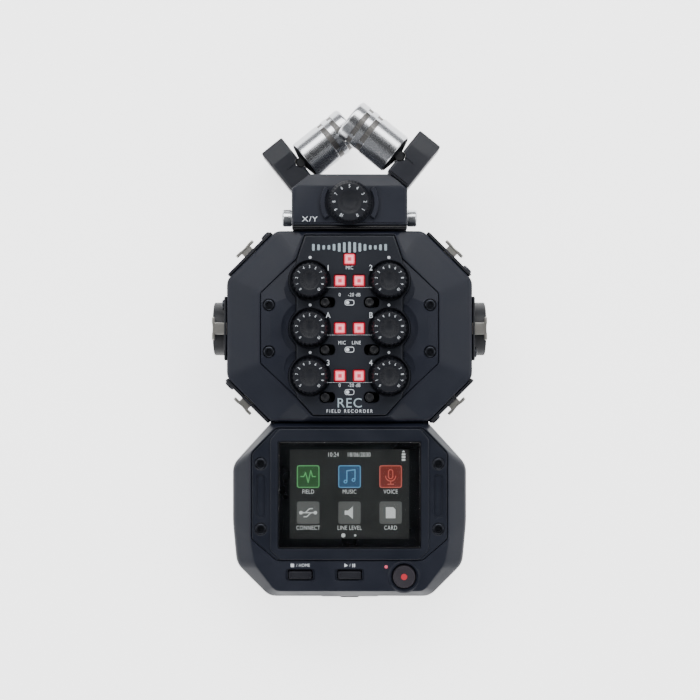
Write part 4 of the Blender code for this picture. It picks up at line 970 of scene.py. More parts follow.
for side_name, side in sides:
    for spot_name, spot_y in zip(("upper", "lower"), frame_screw_y):
        spot = flat_at(side * frame_screw_x, spot_y, 0)
        frame_tools.append(turned_piece("recess", [(0, frame_top_z), (0.0034, frame_top_z),
            (0.0031, frame_top_z - wing_drop), (0.0026, frame_top_z - wing_drop - 0.0002),
            (0.0026, frame_seat_z), (0, frame_seat_z)], spot, steps=48))
        frame_spots["frame_screw_%s_%s" % (side_name, spot_name)] = flat_at(
            side * frame_screw_x, spot_y, frame_seat_z)
    frame_tools.append(box_hole(side * frame_screw_x, sum(frame_screw_y) / 2, 0.0026, 0.0172,
        0.0011, frame_top_z - wing_drop - 0.0008, frame_top_z - wing_drop, 0.0007))
work(surround, frame_tools, sharp=28)
# A darker copy of the housing plastic: painted shade over the whole frame.
frame_slate_painted_shade = moulded_plastic("screen_frame_plastic_painted_shade", (0.0050, 0.0070, 0.0134), roughness=0.44)
fit(surround, "root", "housing_plastic", frame_slate_painted_shade, "screen_frame")
copies(screw_head(0.00235, 0.0008, 0.00115), frame_spots)


# ==================================================================== touch glass
# A slab of clear toughened glass. Its edges and rounded rims are coloured near-black and opaque:
# painted shade in place of the light they would catch. Its back is printed black round the window.
def touch_glass_material():
    made, add, place = look("clear_glass")
    smears = add("TexNoise", {"Scale": 90, "Detail": 4, "Vector": place["Object"]})["Fac"]
    gloss = add("MapRange", {"To Min": 0.008, "To Max": 0.05, "Value": smears})["Result"]
    # Faces that do not point straight up or down get a near-black, opaque colour: painted shade on
    # the glass's edges and rims.
    facing = add("SeparateXYZ", {"Vector": place["Normal"]})["Z"]
    upright = add("Math", {0: facing}, operation="ABSOLUTE")["Value"]
    clear = add("MapRange", {"From Min": 0.93, "From Max": 0.95, "Value": upright})["Result"]
    tone = add("Mix", {"A": (0.003, 0.003, 0.004), "B": (0.93, 0.96, 0.97), "Factor": clear},
               data_type="RGBA")["Result"]
    add("shader", {"IOR": 1.50, "Roughness": gloss, "Transmission Weight": clear,
                   "Base Color": tone})
    return made


window_half = 0.0250
window_low_y, window_high_y = glass_low.y + 0.0037, glass_high.y - 0.0030
slab = plate("cover_glass", box_points(0, glass_y, glass_width, glass_height, 0.0006),
             glass_low.z, glass_high.z, edge=0.0002, low_edge=0.0001)
fit(slab, "root", "screen_glass", touch_glass_material(), "touch_glass")
black_print = moulded_plastic("black_glass_printing", (0.0022, 0.0026, 0.0042), roughness=0.30,
                              grain=0.0002, depth=0.02)
window_y = (window_low_y + window_high_y) / 2
border = bmesh.new()
printed_ring(border, box_points(0, glass_y, glass_width - 0.0002, glass_height - 0.0002, 0.0006),
    box_points(0, window_y, 2 * window_half, window_high_y - window_low_y, 0.0003),
    glass_low.z - ink_depth)
printing(border, "glass_border", black_print, slot="screen_glass")


# ==================================================================== display
# A colour display behind the glass, lit. Its home page has six squares in two rows, each with a
# picture and a word below it, the time and battery above them, and two page dots below.
def lit_pixels(name, colour, glow=1.0):
    """Light from a display: its colour is broken by the fine dark grid between the dots."""
    made, add, place = look(name)
    grid = add("TexBrick", {"Scale": 1 / 0.000155, "Brick Width": 1.0, "Row Height": 1.0,
        "Mortar Size": 0.07, "Color1": colour, "Color2": [c * 0.94 for c in colour],
        "Mortar": [c * 0.55 for c in colour], "Vector": place["Object"]}, offset=0)
    add("shader", {"Base Color": (0.01, 0.01, 0.01), "Emission Color": grid["Color"],
                   "Emission Strength": glow, "Roughness": 0.5})
    return made


def stroke(bm, points, width, height):
    """Draw a line of some width as flat patches, with round joints."""
    for (x0, y0), (x1, y1) in zip(points, points[1:]):
        run = Vector((x1 - x0, y1 - y0)).normalized() * width / 2
        printed_shape(bm, [(x0 + run.y, y0 - run.x), (x1 + run.y, y1 - run.x),
                           (x1 - run.y, y1 + run.x), (x0 - run.y, y0 + run.x)], height)
    for x, y in points:
        printed_shape(bm, ring_points(x, y, width / 2, 8), height)


lcd_low, lcd_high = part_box("display_panel")
lcd = plate("lcd_module", box_points(0, glass_y, 2 * lcd_high.x, lcd_high.y - lcd_low.y, 0.0003),
            lcd_low.z, lcd_high.z, 0.0001, 0.0001)
fit(lcd, "root", "display", lit_pixels("display_ground", (0.0070, 0.0072, 0.0066)), "display_panel")
under_picture = lcd_high.z + ink_depth
over_picture = lcd_high.z + 2.2 * ink_depth
columns = (-0.0173, 0.0, 0.0172)
upper_icons_y, lower_icons_y = glass_high.y - 0.0144, glass_high.y - 0.0295
icon_size = 0.0094
white_text = bmesh.new()
for row_words, y in ((("FIELD", "MUSIC", "VOICE"), upper_icons_y),
                     (("CONNECT", "LINE LEVEL", "CARD"), lower_icons_y)):
    for words, x in zip(row_words, columns):
        letters(white_text, words, 0.0025, flat_at(x, y - 0.0064, under_picture), 0.78, 1.08)
letters(white_text, "10:24     18/06/2030", 0.0026,
        flat_at(-0.0002, window_high_y - 0.0023, under_picture), 0.78, 1.08)
for x, radius, count in ((-0.0026, 0.00085, 20), (0.0024, 0.00045, 16)):
    printed_shape(white_text, ring_points(x, window_low_y + 0.0014, radius, count), under_picture)
for k in range(3):
    printed_shape(white_text, box_points(0.0226, window_high_y - 0.0044 + k * 0.00115, 0.0015,
                                         0.00085, 0.0001), under_picture)
printed_shape(white_text, spots_from(0.0226, window_high_y, (-0.7, -1.2), (0.7, -1.2), (0, -0.4)),
              under_picture)
link_x, level_x, card_x = columns
stroke(white_text, spots_from(link_x, lower_icons_y, (-3, 0), (3, 0)), 0.00040, over_picture)
for side in (-1, 1):
    printed_shape(white_text, ring_points(link_x + side * 0.0030, lower_icons_y, 0.00075, 16),
                  over_picture)
    stroke(white_text, spots_from(link_x, lower_icons_y, (-1.2 * side, 0), (0.6 * side, 1.7 * side),
                                  (1.8 * side, 1.7 * side)), 0.0004, over_picture)
for x, corners in ((level_x, ((-2, -0.9), (-0.6, -0.9), (1.4, -2.6), (1.4, 2.6), (-0.6, 0.9),
        (-2, 0.9))), (card_x, ((-2, -2.3), (2, -2.3), (2, 1.3), (1, 2.3), (-2, 2.3)))):
    printed_shape(white_text, spots_from(x, lower_icons_y, *corners), over_picture)
printing(white_text, "display_words", lit_pixels("display_white", (0.80, 0.82, 0.80)),
         slot="display")


def picture_lines(colour, x, y):
    """The lines of a square's picture, each with its width: a wave, a note or a microphone."""
    if colour == "green":
        return [(spots_from(x, y, (-3.1, 0), (-1.8, 0), (-1.1, 1.7), (0, -2.5), (1.1, 2.5),
                            (1.8, 0), (3.1, 0)), 0.00042)]
    if colour == "blue":
        flag = spots_from(x, y, (-1.1, -2), (-1.1, 2.4), (2.3, 2.9), (2.3, -1.3))
        return [(flag, 0.00045)] + [(arc(*spot, 0.0006, 0, 360), 0.00042)
                                    for spot in spots_from(x, y, (-1.7, -2.1), (1.7, -1.4))]
    head = arc(x, y + 0.0020, 0.0009, 0, 180) + arc(x, y, 0.0009, 180, 360)
    return [(line, 0.00040) for line in (
        head + spots_from(x, y, (0.9, 2)), arc(x, y + 0.0002, 0.0021, 180, 360),
        spots_from(x, y, (0, -1.9), (0, -3.1)), spots_from(x, y, (-1.2, -3.2), (1.2, -3.2)))]


squares = {"grey": (columns, lower_icons_y, (0.115, 0.118, 0.112), None),
           "green": (columns[:1], upper_icons_y, (0.020, 0.085, 0.022), (0.14, 0.52, 0.16)),
           "blue": (columns[1:2], upper_icons_y, (0.022, 0.085, 0.185), (0.16, 0.46, 0.78)),
           "red": (columns[2:], upper_icons_y, (0.20, 0.020, 0.012), (0.78, 0.15, 0.11))}
for colour_name, (across, y, fill, line) in squares.items():
    patch = bmesh.new()
    edges = [box_points(x, y, icon_size, icon_size, 0.0010) for x in across]
    for edge in edges:
        printed_shape(patch, edge, under_picture)
    printing(patch, "display_%s_square" % colour_name,
             lit_pixels("display_%s_fill" % colour_name, fill), slot="display")
    if line:
        drawn = bmesh.new()
        printed_ring(drawn, edges[0], inset(edges[0], 0.00038), over_picture)
        for points, width in picture_lines(colour_name, across[0], y):
            stroke(drawn, points, width, over_picture)
        printing(drawn, "display_%s_picture" % colour_name,
                 lit_pixels("display_%s_line" % colour_name, line), slot="display")


# ==================================================================== transport keys and lamp
# Stop and play are flat keys in sunk frames. Record is a round key with a red dot, inside a raised
# ring; its red lamp sits beside it. Stop and play are black plastic, record is a shade lighter.
key_plastic = moulded_plastic("key_plastic", (0.0105, 0.0110, 0.0150), roughness=0.40,
                              grain=0.0003, depth=0.08)
for key_name, key in (("stop", stop_key), ("play", play_key)):
    node = key_name + "_button"
    low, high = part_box(node)
    cap = plate(key_name + "_key", box_points(key.x, key.y, key_width, key_height, 0.0005),
                low.z + 0.0002, high.z, edge=0.0004)
    dip = box_hole(key.x, key.y, key_width - 0.0022, key_height - 0.0016, 0.0005,
                   high.z - 0.00012, high.z, 0.0001)
    foot = plate("foot", box_points(key.x, key.y, key_width + 0.0016, key_height + 0.0016, 0.0005),
                 low.z, low.z + 0.0008)
    work(work(cap, [foot], "UNION"), [dip], sharp=30)
    fit(cap, node, "button_plastic", key_plastic, node)
low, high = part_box("record_button")
record_cap = turned_piece("record_key", [(0, high.z - 0.00025), (0.0020, high.z - 0.0002),
    (0.0036, high.z - 0.00005), (record_radius - 0.0006, high.z),
    (record_radius - 0.0002, high.z - 0.0001), (record_radius, high.z - 0.0004),
    (record_radius, low.z + 0.0008), (record_radius + 0.0008, low.z + 0.0008),
    (record_radius + 0.0008, low.z), (0, low.z)], flat_at(record_key.x, record_key.y, 0), steps=96)
record_plastic = moulded_plastic("record_key_plastic", (0.0260, 0.0235, 0.0290), roughness=0.42,
                                 grain=0.0003, depth=0.08)
fit(record_cap, "record_button", "button_plastic", record_plastic, "record_button")
record_ring = turned_piece("record_bezel", spots_from(0, screen_deck_z, (5.55, 0.3), (5.75, 0.6),
    (6.2, 0.6), (6.9, 0), (6.9, -0.2), (5.55, -0.2), (5.55, 0.3)),
    flat_at(record_key.x, record_key.y, 0), steps=96)
fit(record_ring, "root", "button_plastic", slate)
red_ink = moulded_plastic("red_printing", (0.46, 0.030, 0.042), roughness=0.45, grain=0.0002,
                          depth=0.05)
dot = bmesh.new()
printed_shape(dot, ring_points(record_key.x, record_key.y, 0.0013, 32), high.z - 0.00012)
printing(dot, "record_dot", red_ink, "record_button", "button_plastic")
lamp_x, lamp_y = record_key.x - 0.0075, record_key.y + 0.0041
red_lamp = lit_pixels("red_lamp", (1.0, 0.12, 0.20), 1.1)
lamp_lens = turned_piece("record_lamp", spots_from(0, screen_deck_z, (0, 0.3), (0.3, 0.25),
    (0.55, 0.1), (0.7, 0), (0.7, -0.8), (0, -0.8)), flat_at(lamp_x, lamp_y, 0), steps=24)
fit(lamp_lens, "root", "lit_button", red_lamp)
key_marks = bmesh.new()
mark_z = screen_deck_z + ink_depth / 2
mark_y = stop_key.y + 0.0040
printed_shape(key_marks, box_points(stop_key.x - 0.0033, mark_y, 0.0014, 0.0014, 0.0001), mark_z)
letters(key_marks, "/ HOME", 0.0018, flat_at(stop_key.x + 0.0012, mark_y, mark_z), 0.9, 1.05)
printed_shape(key_marks, spots_from(play_key.x, mark_y, (-2.1, -0.8), (-0.7, 0), (-2.1, 0.8)),
              mark_z)
letters(key_marks, "/", 0.0018, flat_at(play_key.x + 0.0002, mark_y, mark_z), 0.9)
for step in (0.0014, 0.0021):
    printed_shape(key_marks, box_points(play_key.x + step, mark_y, 0.0004, 0.0014, 0.0001), mark_z)
printing(key_marks, "key_marks", white_ink, slot="housing_plastic")


# ==================================================================== microphone module
# A hollow moulding that plugs into the top end: a block with a sloping upper edge, a black base
# strip, and two low guards beside its dial. A tongue with gilt contacts goes into the recorder.
module = "capsule_module"
module_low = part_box("capsule_housing")[0]
base_y = top_y + 0.0004
module_half = 0.0242
module_front = 0.0400
module_shoulder_y, module_top_y = row_y + 0.0585, row_y + 0.0645
module_wall = 0.0042
strip_y = base_y + 0.0017
module_right = [(module_half, module_shoulder_y), (0.0167, module_top_y)]
module_shell = plate("module_shell", round_corners(
    mirrored([(module_half, strip_y)] + module_right), 0.0009), module_low.z, module_front,
    edge=0.0010, low_edge=0.0010, steps=4)
base_strip = plate("module_base", round_corners(
    mirrored([(module_half - 0.0001, base_y), (module_half - 0.0001, strip_y - 0.0001)]), 0.0005),
    module_low.z + 0.0003, module_front - 0.0004, edge=0.0006, low_edge=0.0006)
dial = centre("mic_dial")
dial_y = dial.y
release_y, release_z = centre("release_button_left").y, centre("release_button_left").z
release_inner = module_half - module_wall
hollow_top_z = module_front - module_wall


def module_hollow():
    outline = [(-release_inner, base_y + 0.0012), (release_inner, base_y + 0.0012),
               (release_inner, module_shoulder_y), (-release_inner, module_shoulder_y)]
    return loft("hollow", [level(outline, module_low.z + module_wall),
                           level(outline, hollow_top_z)])


def release_place(side):
    """A frame in a side wall of the module, with Z out of the wall."""
    return flat_at(side * release_inner, release_y, release_z) \
        @ Matrix.Rotation(side * math.radians(90), 4, "Y")


module_tools = [facet_tool((0, module_shoulder_y + 0.0010, module_front), 0, 0.34), module_hollow(),
    round_hole(0, dial_y, 0.0034, hollow_top_z - 0.002, module_front, 0)]
for side in (-1, 1):
    module_tools.append(placed(round_hole(0, 0, 0.00405, -wall, module_wall, count=40),
                               release_place(side)))
work(module_shell, module_tools, sharp=30)
sweep = math.degrees(math.asin(0.0060 / 0.0111))
guards = [plate("guard", arc(0, dial_y, 0.0122, middle - sweep, middle + sweep, 24)
                + arc(0, dial_y, 0.0102, middle + sweep, middle - sweep, 24),
                module_front - 0.0006, module_front + 0.0020) for middle in (180, 0)]
work(module_shell, guards, "UNION", 30)
fit(module_shell, module, "housing_plastic", slate, "capsule_housing")
work(base_strip, [module_hollow()])
black_plastic = moulded_plastic("black_plastic", (0.0040, 0.0042, 0.0055), roughness=0.35,
                                grain=0.0003, depth=0.06)
fit(base_strip, module, "housing_plastic", black_plastic)
tongue_z = 0.0210
plug = loft("module_plug", [[Vector((x, y, tongue_z + z)) for x,
    z in box_points(0, 0, 0.0254 - trim, 0.0080 - trim, 0.0012)] for y,
    trim in ((base_y + 0.0011, 0), (base_y - 0.0092, 0), (base_y - 0.0100, 0.0014))])
fit(plug, module, "housing_plastic", black_plastic)
fingers = bmesh.new()
for k in range(12):
    x = (k - 5.5) * 0.0018
    for height in (tongue_z - 0.0040, tongue_z + 0.0040):
        printed_shape(fingers, spots_from(x, base_y, (-0.5, -8.6), (0.5, -8.6), (0.5, -1.6),
                                          (-0.5, -1.6)), height)
fit(shade_solid(fingers, "module_contacts"), module, "latch_nickel", gilt)
module_marks = bmesh.new()
letters(module_marks, "X/Y", 0.0030,
        flat_at(-0.0166, strip_y + 0.0024, module_front + ink_depth / 2), 1.25, 1.15)
printing(module_marks, "module_mark", white_ink, module, "housing_plastic")


# ==================================================================== microphone level dial
# A turned dial in the knobs' rubberised plastic. Its figures run the other way round.
low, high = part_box("mic_dial")
level_knob("level_dial", "mic_dial", "mic_dial", 0, dial_y, 0.0092, high.z, module_front, low.z, 40,
           knob_rubber, sweep=-150)


# ==================================================================== release buttons
# Brushed metal pins in the module's sides: both are pressed to unplug it. A collar inside keeps
# each one in against its spring.
silver = metal("brushed_silver", (0.66, 0.68, 0.70), 0.30, (5200, 700, 5200))
for word, side in reversed(sides):
    node = "release_button_" + word
    reach = module_wall + 0.0047
    pin = turned_piece("release_pin_" + word, [
        (0, reach - 0.00025), (0.0016, reach - 0.0002), (0.0026, reach - 0.0001),
        (0.0029, reach), (0.0032, reach - 0.0001), (0.0035, reach - 0.0004),
        (0.00365, reach - 0.0009), (0.00365, reach - 0.0036), (0.0034, reach - 0.0038),
        (0.0034, reach - 0.0042), (0.00365, reach - 0.0044), (0.00365, -0.0004),
        (0.00425, -0.0004), (0.00425, -0.0014), (0, -0.0014)], release_place(side))
    fit(pin, node, "release_metal", silver, node)


# ==================================================================== microphone arms
# Two moulded arms stand out from the module's shoulders. The outer end of each slopes back, a short
# line is let into its face, and a hollow down its inner side takes the microphone's knuckle.
arm_width, arm_thickness, arm_end = 0.0111, 0.0156, 0.0135
lean = math.radians(51.3)
knuckle_radius = 0.0022
arm_slate = moulded_plastic("arm_plastic", (0.0120, 0.0132, 0.0180), roughness=0.40)
arm_frames = {}
for word, side in reversed(sides):
    mic_z = centre(word + "_microphone").z
    pivot = Vector((side * 0.0210, row_y + 0.0722, mic_z))
    up = Vector((side * math.cos(lean), math.sin(lean), 0))
    away = Vector((side * math.sin(lean), -math.cos(lean), 0))
    arm_frames[word] = (pivot, up, away, side)
    arm_place = framed(pivot, away, up, Vector((0, 0, side)))
    foot = (Vector((side * module_half, module_shoulder_y, mic_z)) - pivot).dot(up) + 0.0003
    arm = plate("arm_" + word, round_corners(
        [(0, foot), (arm_width, foot), (arm_width, arm_end), (0, arm_end)], 0.0008),
        -arm_thickness / 2, arm_thickness / 2, edge=0.0010, low_edge=0.0010, steps=4)
    groove = loft("groove", [level(ring_points(0, 0, knuckle_radius + 0.0004), z)
                             for z in (-arm_thickness, arm_thickness)])
    mark = box_hole(side * arm_width * 0.40, 0.0006, 0.0042, 0.0005, 0.0001,
                    arm_thickness / 2 - 0.0003, arm_thickness / 2, 0.0001)
    placed(arm, arm_place)
    mark_turn = Matrix.Rotation(0 if side > 0 else math.pi, 4, "Y")
    tip = pivot + up * 0.0062 + Vector((0, 0, arm_thickness / 2))
    for tool in (placed(groove, arm_place), placed(mark, arm_place @ mark_turn),
                 facet_tool(tip, up.x * 0.16, up.y * 0.16)):
        work(arm, [tool], sharp=28)
    fit(arm, module, "housing_plastic", arm_slate, "mic_arm_" + word)


# ==================================================================== microphones
# Two matched cardioid capsules in polished barrels, one over the other. Each barrel has two rings
# of windows backed by fine steel mesh, and mesh over its front. A black boot with a cross pin holds
# it to its arm, where it turns to widen the pair.
def woven_steel(name):
    """Fine woven wire: rounded wires stand proud of dark gaps, in both directions."""
    made, add, place = look(name)
    weave = add("TexVoronoi", {"Scale": 1 / 0.00034, "Randomness": 0.12,
                               "Vector": place["Object"]}, distance="CHEBYCHEV")["Distance"]
    colour = colour_ramp(add, weave, (0.18, (0.006, 0.006, 0.006)), (0.42, (0.16, 0.155, 0.15)))
    bump = add("Bump", {"Strength": 0.6, "Distance": 0.0001, "Height": weave})
    add("shader", {"Base Color": colour, "Metallic": 0.85, "Roughness": 0.42,
                   "Normal": bump["Normal"]})
    return made


polished = metal("polished_barrel", (0.52, 0.53, 0.55), 0.25, (9000, 9000, 9000), wear=0.03)
mesh_steel = woven_steel("woven_mesh")
boot_rubber = moulded_plastic("mic_boot", (0.0045, 0.0050, 0.0065), roughness=0.45, grain=0.0003)
barrel, sunk, standoff, mic_length = 0.0089, 0.0083, 0.0021, 0.0245
for word, (pivot, up, away, side) in arm_frames.items():
    body = "microphone_" + word
    mic_place = framed(pivot, up, Vector((0, 0, -side)), -away)
    front = standoff + mic_length
    bands = ((standoff + 0.0128, standoff + 0.0152), (standoff + 0.0178, standoff + 0.0200))
    profile = [(sunk - 0.0012, front - 0.0020), (sunk - 0.0012, front - 0.0006),
        (sunk - 0.0008, front - 0.0001), (sunk - 0.0002, front), (barrel - 0.0004, front - 0.0002),
        (barrel - 0.0001, front - 0.0006), (barrel, front - 0.0012)]
    for band_low, band_high in reversed(bands):
        profile += [(barrel, band_high + 0.0001), (barrel - 0.0001, band_high), (sunk, band_high),
                    (sunk, band_low), (barrel - 0.0001, band_low), (barrel, band_low - 0.0001)]
    profile += [(barrel, standoff + 0.0006), (barrel - 0.0002, standoff + 0.0002),
                (barrel - 0.0010, standoff + 0.0002), (sunk - 0.0012, standoff + 0.0002),
                (sunk - 0.0012, front - 0.0020)]
    shell = turned_piece("mic_barrel_" + word, profile, Matrix(), steps=96, sharp=30)
    struts = []
    quarter = math.radians(90)
    for band_low, band_high in bands:
        for k in range(4):
            strut = plate("strut", box_points(0, 0, 0.0016, band_high - band_low + 0.0006, 0.0001),
                          sunk - 0.0004, barrel - 0.00008, edge=0.0001, low_edge=0.00005)
            struts.append(placed(strut, Matrix.Rotation((k + 0.5) * quarter, 4, "Z")
                @ flat_at(0, 0, (band_low + band_high) / 2) @ Matrix.Rotation(quarter, 4, "Y")
                @ Matrix.Rotation(quarter, 4, "Z")))
    work(shell, struts, "UNION", 30)
    fit(placed(shell, mic_place), body, "mic_metal", polished, word + "_microphone")
    for band_name, (band_low, band_high) in zip(("rear", "front"), bands):
        fit(turned_piece("mic_%s_mesh_%s" % (band_name, word), [(sunk + 0.0002, band_high),
            (sunk + 0.0002, band_low), (sunk - 0.0002, band_low), (sunk - 0.0002, band_high),
            (sunk + 0.0002, band_high)], mic_place, steps=96), body, "mic_metal", mesh_steel)
    grille = turned_piece("mic_grille_" + word, [(0, front - 0.0008), (0.0030, front - 0.0009),
        (0.0055, front - 0.0011), (sunk - 0.0013, front - 0.0015), (sunk - 0.0013, front - 0.0019),
        (0, front - 0.0019)], mic_place, steps=72)
    fit(grille, body, "mic_metal", mesh_steel)
    boot = turned_piece("mic_boot_" + word, [(0, standoff + 0.0012),
        (sunk - 0.0014, standoff + 0.0012), (sunk - 0.0014, standoff + 0.00015),
        (barrel - 0.0004, standoff + 0.00015), (barrel - 0.0008, standoff - 0.0002),
        (barrel - 0.0012, standoff - 0.0004), (0.0034, 0.0007), (0, 0.0007)], mic_place, steps=72)
    knuckle = turned_piece("knuckle", [(0, 0.0060), (knuckle_radius - 0.0003, 0.0060),
        (knuckle_radius, 0.0057), (knuckle_radius, -0.0057), (knuckle_radius - 0.0003, -0.0060),
        (0, -0.0060)], Matrix.Translation(pivot), steps=32)
    work(boot, [knuckle], "UNION", 32)
    fit(boot, body, "mic_metal", boot_rubber)
    mic_mark = bmesh.new()
    heading = math.atan2(-away.y, -away.x)
    spot = pivot - away * (standoff + 0.0036) + Vector((0, 0, barrel - 0.00002))
    letters(mic_mark, word[0].upper(), 0.0019, Matrix.Translation(spot)
            @ Matrix.Rotation(heading if side < 0 else heading + math.pi, 4, "Z"), 0.9)
    printing(mic_mark, "mic_mark_" + word, black_print, body, "mic_metal")


# ==================================================================== card door
# A plastic flap over the memory card's slot, in the middle of the bottom end. It rides on its own
# body, which folds it down; a lip at the top takes a fingernail.
door_low, door_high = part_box("card_door")
door_width, door_height = door_high.x - door_low.x, door_high.z - door_low.z
door_back = end_y - door_high.y
door_front = door_back + door_high.y - door_low.y
door_place = wall_place(0, end_y, -90, door_middle.z)
flap = plate("card_flap", box_points(0, 0, door_width, door_height, 0.0012), door_back, door_front,
             edge=0.0005)
work(flap, [box_hole(0, -0.0006, door_width - 0.0050, door_height - 0.0052, 0.0010,
                     door_front - 0.0002, door_front, 0.0002)])
nail_lip = plate("lip", box_points(0, door_height / 2 - 0.0011, 0.0080, 0.0012, 0.0004),
                 door_front - 0.0004, door_front + 0.0004, edge=0.0003)
work(flap, [nail_lip], "UNION")
fit(placed(flap, door_place), "card_door", "housing_plastic", slate, "card_door")
card_picture = bmesh.new()
printed_shape(card_picture, spots_from(0, 0, (-1, -1.6), (1, -1.6), (1, 0.7), (0.4, 1.3),
    (-1, 1.3)), door_front - 0.0002 + ink_depth / 2)
fit(placed(shade_solid(card_picture, "card_door_mark"), door_place), "card_door", "panel_plastic",
    grey_ink)


# ==================================================================== power switch and strap eye
# A ribbed slider in the lower right corner's face, with its stops marked beside it. The left
# corner carries a steel eye for a wrist strap.
slider = plate("power_slider", box_points(0, 0, 0.0060, 0.0030, 0.0005), -0.0022, 0.0012,
               edge=0.0003)
work(slider, [box_hole((k - 1.5) * 0.0012, 0, 0.0004, 0.0040, 0.0001, 0.0009, 0.0012, 0.00008)
              for k in range(4)])
fit(placed(slider, end_corner @ flat_at(-0.0015, 0, 0)), "power_switch", "button_plastic",
    key_plastic, "power_switch")
switch_marks = bmesh.new()
for words, x in (("OFF", -0.0060), ("ON", 0.0060)):
    letters(switch_marks, words, 0.0015, flat_at(x, 0, ink_depth / 2), 0.9)
fit(placed(shade_solid(switch_marks, "power_marks"), end_corner), "root", "panel_plastic",
    white_ink)
wire, eye_half, eye_rise = 0.0006, 0.0032, 0.0010
eye_path = [(-eye_half, -eye_rise), (-eye_half, eye_rise)] + [
    (x * eye_half, eye_rise + z * eye_rise) for x, z in arc(0, 0, 1, 165, 15, 10)] + [
    (eye_half, eye_rise), (eye_half, -eye_rise)]
eye_rings = []
for x, z in eye_path:
    upright = abs(x) > 0.003
    eye_rings.append([(x + i * wire * upright, j * wire, z + i * wire * (not upright))
                      for i, j in ring_points(0, 0, 1, 12)])
fit(placed(loft("strap_eye", eye_rings), left_corner), "root", "latch_nickel", black_screw)


# ==================================================================== volume wheel and side sockets
# A knurled thumb wheel peeps out of the left side, between the headphone and line sockets. The
# right side has the data socket. Each has a steel or gilt liner in the casing's wall.
wheel_low, wheel_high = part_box("volume_wheel")
wheel_radius = (wheel_high.y - wheel_low.y) / 2
thumb_wheel = turned_piece("thumb_wheel", [(0, wheel_high.z), (wheel_radius - 0.0009, wheel_high.z),
    (wheel_radius - 0.0005, wheel_high.z - 0.0001), (wheel_radius, wheel_high.z - 0.0005),
    (wheel_radius, wheel_low.z + 0.0005), (wheel_radius - 0.0005, wheel_low.z + 0.0001),
    (wheel_radius - 0.0009, wheel_low.z), (0, wheel_low.z)],
    flat_at(wheel_middle.x, wheel_middle.y, 0), steps=192, flutes=48, flute_depth=0.0003,
    flute_range=(wheel_low.z + 0.0002, wheel_high.z - 0.0002), sharp=50)
fit(thumb_wheel, "volume_wheel", "knob_rubber", knob_rubber, "volume_wheel")


def side_socket(name, y, height, degrees, outline, liner):
    """A small socket in a side wall: a cut in the casing, a liner and a dark floor."""
    place = wall_place(-screen_half if degrees else screen_half, y, degrees, height)
    work(rear_shell, [placed(hole_tool(outline, -0.0030, 0.0, 0.0002), place)], sharp=30)
    ring = plate(name + "_liner", inset(outline, 0.00005), -0.0021, -0.0001, edge=0.0001)
    work(ring, [hole_tool(inset(outline, 0.0004), -0.0025, 0.0001, 0)])
    fit(placed(ring, place), "root", "latch_nickel", liner)
    socket_floor = plate(name + "_floor", inset(outline, 0.0001), -0.0034, -0.0020, edge=0.0001)
    fit(placed(socket_floor, place), "root", "socket_plastic", socket_black)


for name, step in (("headphone_socket", 0.0120), ("line_out_socket", -0.0110)):
    side_socket(name, wheel_middle.y + step, wheel_middle.z, 180, ring_points(0, 0, 0.0026, 40),
                gilt)
side_socket("data_socket", wheel_middle.y, 0.0120, 0, box_points(0, 0, 0.0092, 0.0034, 0.0016),
            nickel)


# ==================================================================== battery cover
# A slide-off lid over the cells, in the casing's plastic: a ribbed thumb patch with an arrow, and
# a rubber foot glued along it. It sits in a recess in the rear shell.
lid_front = cover_high.z - cover_low.z
lid_turn = turned_over(0, 0, cover_high.z)
lid_plate = plate("battery_lid", box_points(0, (cover_low.y + cover_high.y) / 2,
    cover_high.x - cover_low.x, cover_high.y - cover_low.y, 0.0010), 0, lid_front)
patch_y = cover_high.y - 0.0105
work(lid_plate, [box_hole(0, patch_y, 0.0240, 0.0120, 0.0030, lid_front - 0.0004, lid_front,
                          0.0002)])
grips = [plate("grip", box_points(0, patch_y + k * 0.0020, 0.0200 - 0.0020 * abs(k), 0.0008,
    0.0003), lid_front - 0.0006, lid_front - 0.00005, edge=0.0003) for k in range(-2, 3)]
work(lid_plate, grips, "UNION")
fit(placed(lid_plate, lid_turn), "battery_cover", "housing_plastic", slate, "battery_cover")
lid_marks = bmesh.new()
printed_shape(lid_marks, spots_from(0, patch_y, (-3, -10), (3, -10), (0, -13.5)),
              lid_front + ink_depth / 2)
letters(lid_marks, "OPEN", 0.0030, flat_at(0, patch_y - 0.0172, lid_front + ink_depth / 2)
        @ Matrix.Rotation(math.pi, 4, "Z"), 1.0, 1.1)
fit(placed(shade_solid(lid_marks, "lid_marks"), lid_turn), "battery_cover", "panel_plastic",
    white_ink)


# ================================================================ tripod bush, feet, rear screws
# A threaded brass bush for a quarter inch tripod screw is moulded into the back. Two ribbed rubber
# feet keep the recorder off the table, and six cross-head screws close the casing.
brass = metal("turned_brass", (0.62, 0.45, 0.20), 0.30)
bush_profile = [(0.0047, rear_low.z + 0.0002), (0.0045, rear_low.z), (0.0036, rear_low.z)]
thread_pitch = 0.00127
for k in range(7):
    start = rear_low.z + 0.0004 + k * thread_pitch
    bush_profile += [(0.00335, start), (0.0028, start + thread_pitch / 2)]
bush_profile += [(0.0032, 0.0104), (0.0032, 0.0124), (0.0047, 0.0124),
                 (0.0047, rear_low.z + 0.0002)]
bush = turned_piece("tripod_bush", bush_profile, flat_at(0, tripod_y, 0), steps=48)
fit(bush, "root", "latch_nickel", brass)
foot_rubber = moulded_plastic("foot_rubber", (0.0110, 0.0110, 0.0120), roughness=0.72,
                              grain=0.00030, depth=0.25, specular=0.25)
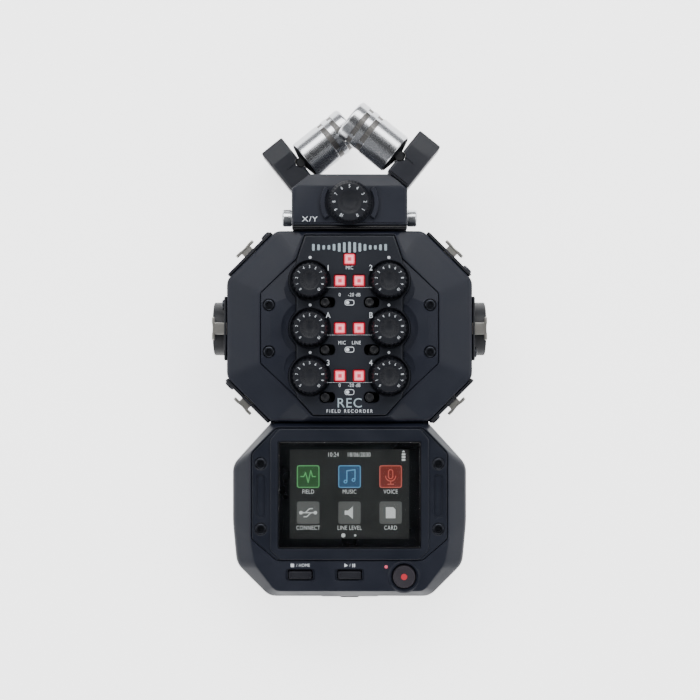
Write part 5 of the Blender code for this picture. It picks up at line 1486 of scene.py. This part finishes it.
for node, body in (("foot_upper", "root"), ("foot_lower", "battery_cover")):
    low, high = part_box(node)
    width, height = high.x - low.x, high.y - low.y
    foot = plate(node + "_rubber", box_points(0, 0, width, height, 0.0020), 0, high.z - low.z,
                 edge=0.0004)
    work(foot, [box_hole(k * 0.0031, 0, 0.0008, height - 0.0024, 0.0003,
                         high.z - low.z - 0.0003, high.z - low.z, 0.0001) for k in range(-7, 8)])
    placed(foot, turned_over((low.x + high.x) / 2, (low.y + high.y) / 2, high.z))
    fit(foot, body, "foot_rubber", foot_rubber, node)
rear_seat_z = 0.0034     # the seats of the rear screws
screw_spots = {}
for spot_name, x, y in (("upper", 0.0300, top_y - 0.0100), ("middle", 0.0300, neck_y + 0.0120),
                        ("lower", 0.0390, shoulder_y - 0.0040)):
    for side_name, side in sides:
        bore = turned_piece("bore", [(0, rear_seat_z), (0.0026, rear_seat_z),
            (0.0026, rear_low.z + 0.0003), (0.0029, rear_low.z - 0.0002), (0, rear_low.z - 0.0002)],
            flat_at(side * x, y, 0), steps=40)
        boss = turned_piece("boss", [(0, 0.0075), (0.0040, 0.0075), (0.0040, rear_low.z + 0.0010),
                                     (0, rear_low.z + 0.0010)], flat_at(side * x, y, 0), steps=40)
        work(work(rear_shell, [boss], "UNION", 30), [bore], sharp=30)
        screw_spots["rear_screw_%s_%s" % (side_name, spot_name)] = turned_over(
            side * x, y, rear_seat_z)
copies(screw_head(0.0023, 0.0010, 0.0014, cross=True), screw_spots)


# ==================================================================== inside
# The circuit board, the cells in their tray and the module's dock are seen only when a cover is
# off. They keep their plain shapes: green lacquer, printed cell wrap and black moulded plastic.
lacquer = moulded_plastic("board_lacquer", (0.010, 0.075, 0.030), roughness=0.32, grain=0.0009,
                          depth=0.05, specular=0.5)
wrap = moulded_plastic("cell_wrap", (0.055, 0.060, 0.070), roughness=0.28, grain=0.0020,
                       depth=0.03, specular=0.5)
for node, material in (("main_board", lacquer), ("battery_pack", wrap),
                       ("capsule_dock", black_plastic)):
    for slot_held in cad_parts[node].material_slots:
        slot_held.material = material
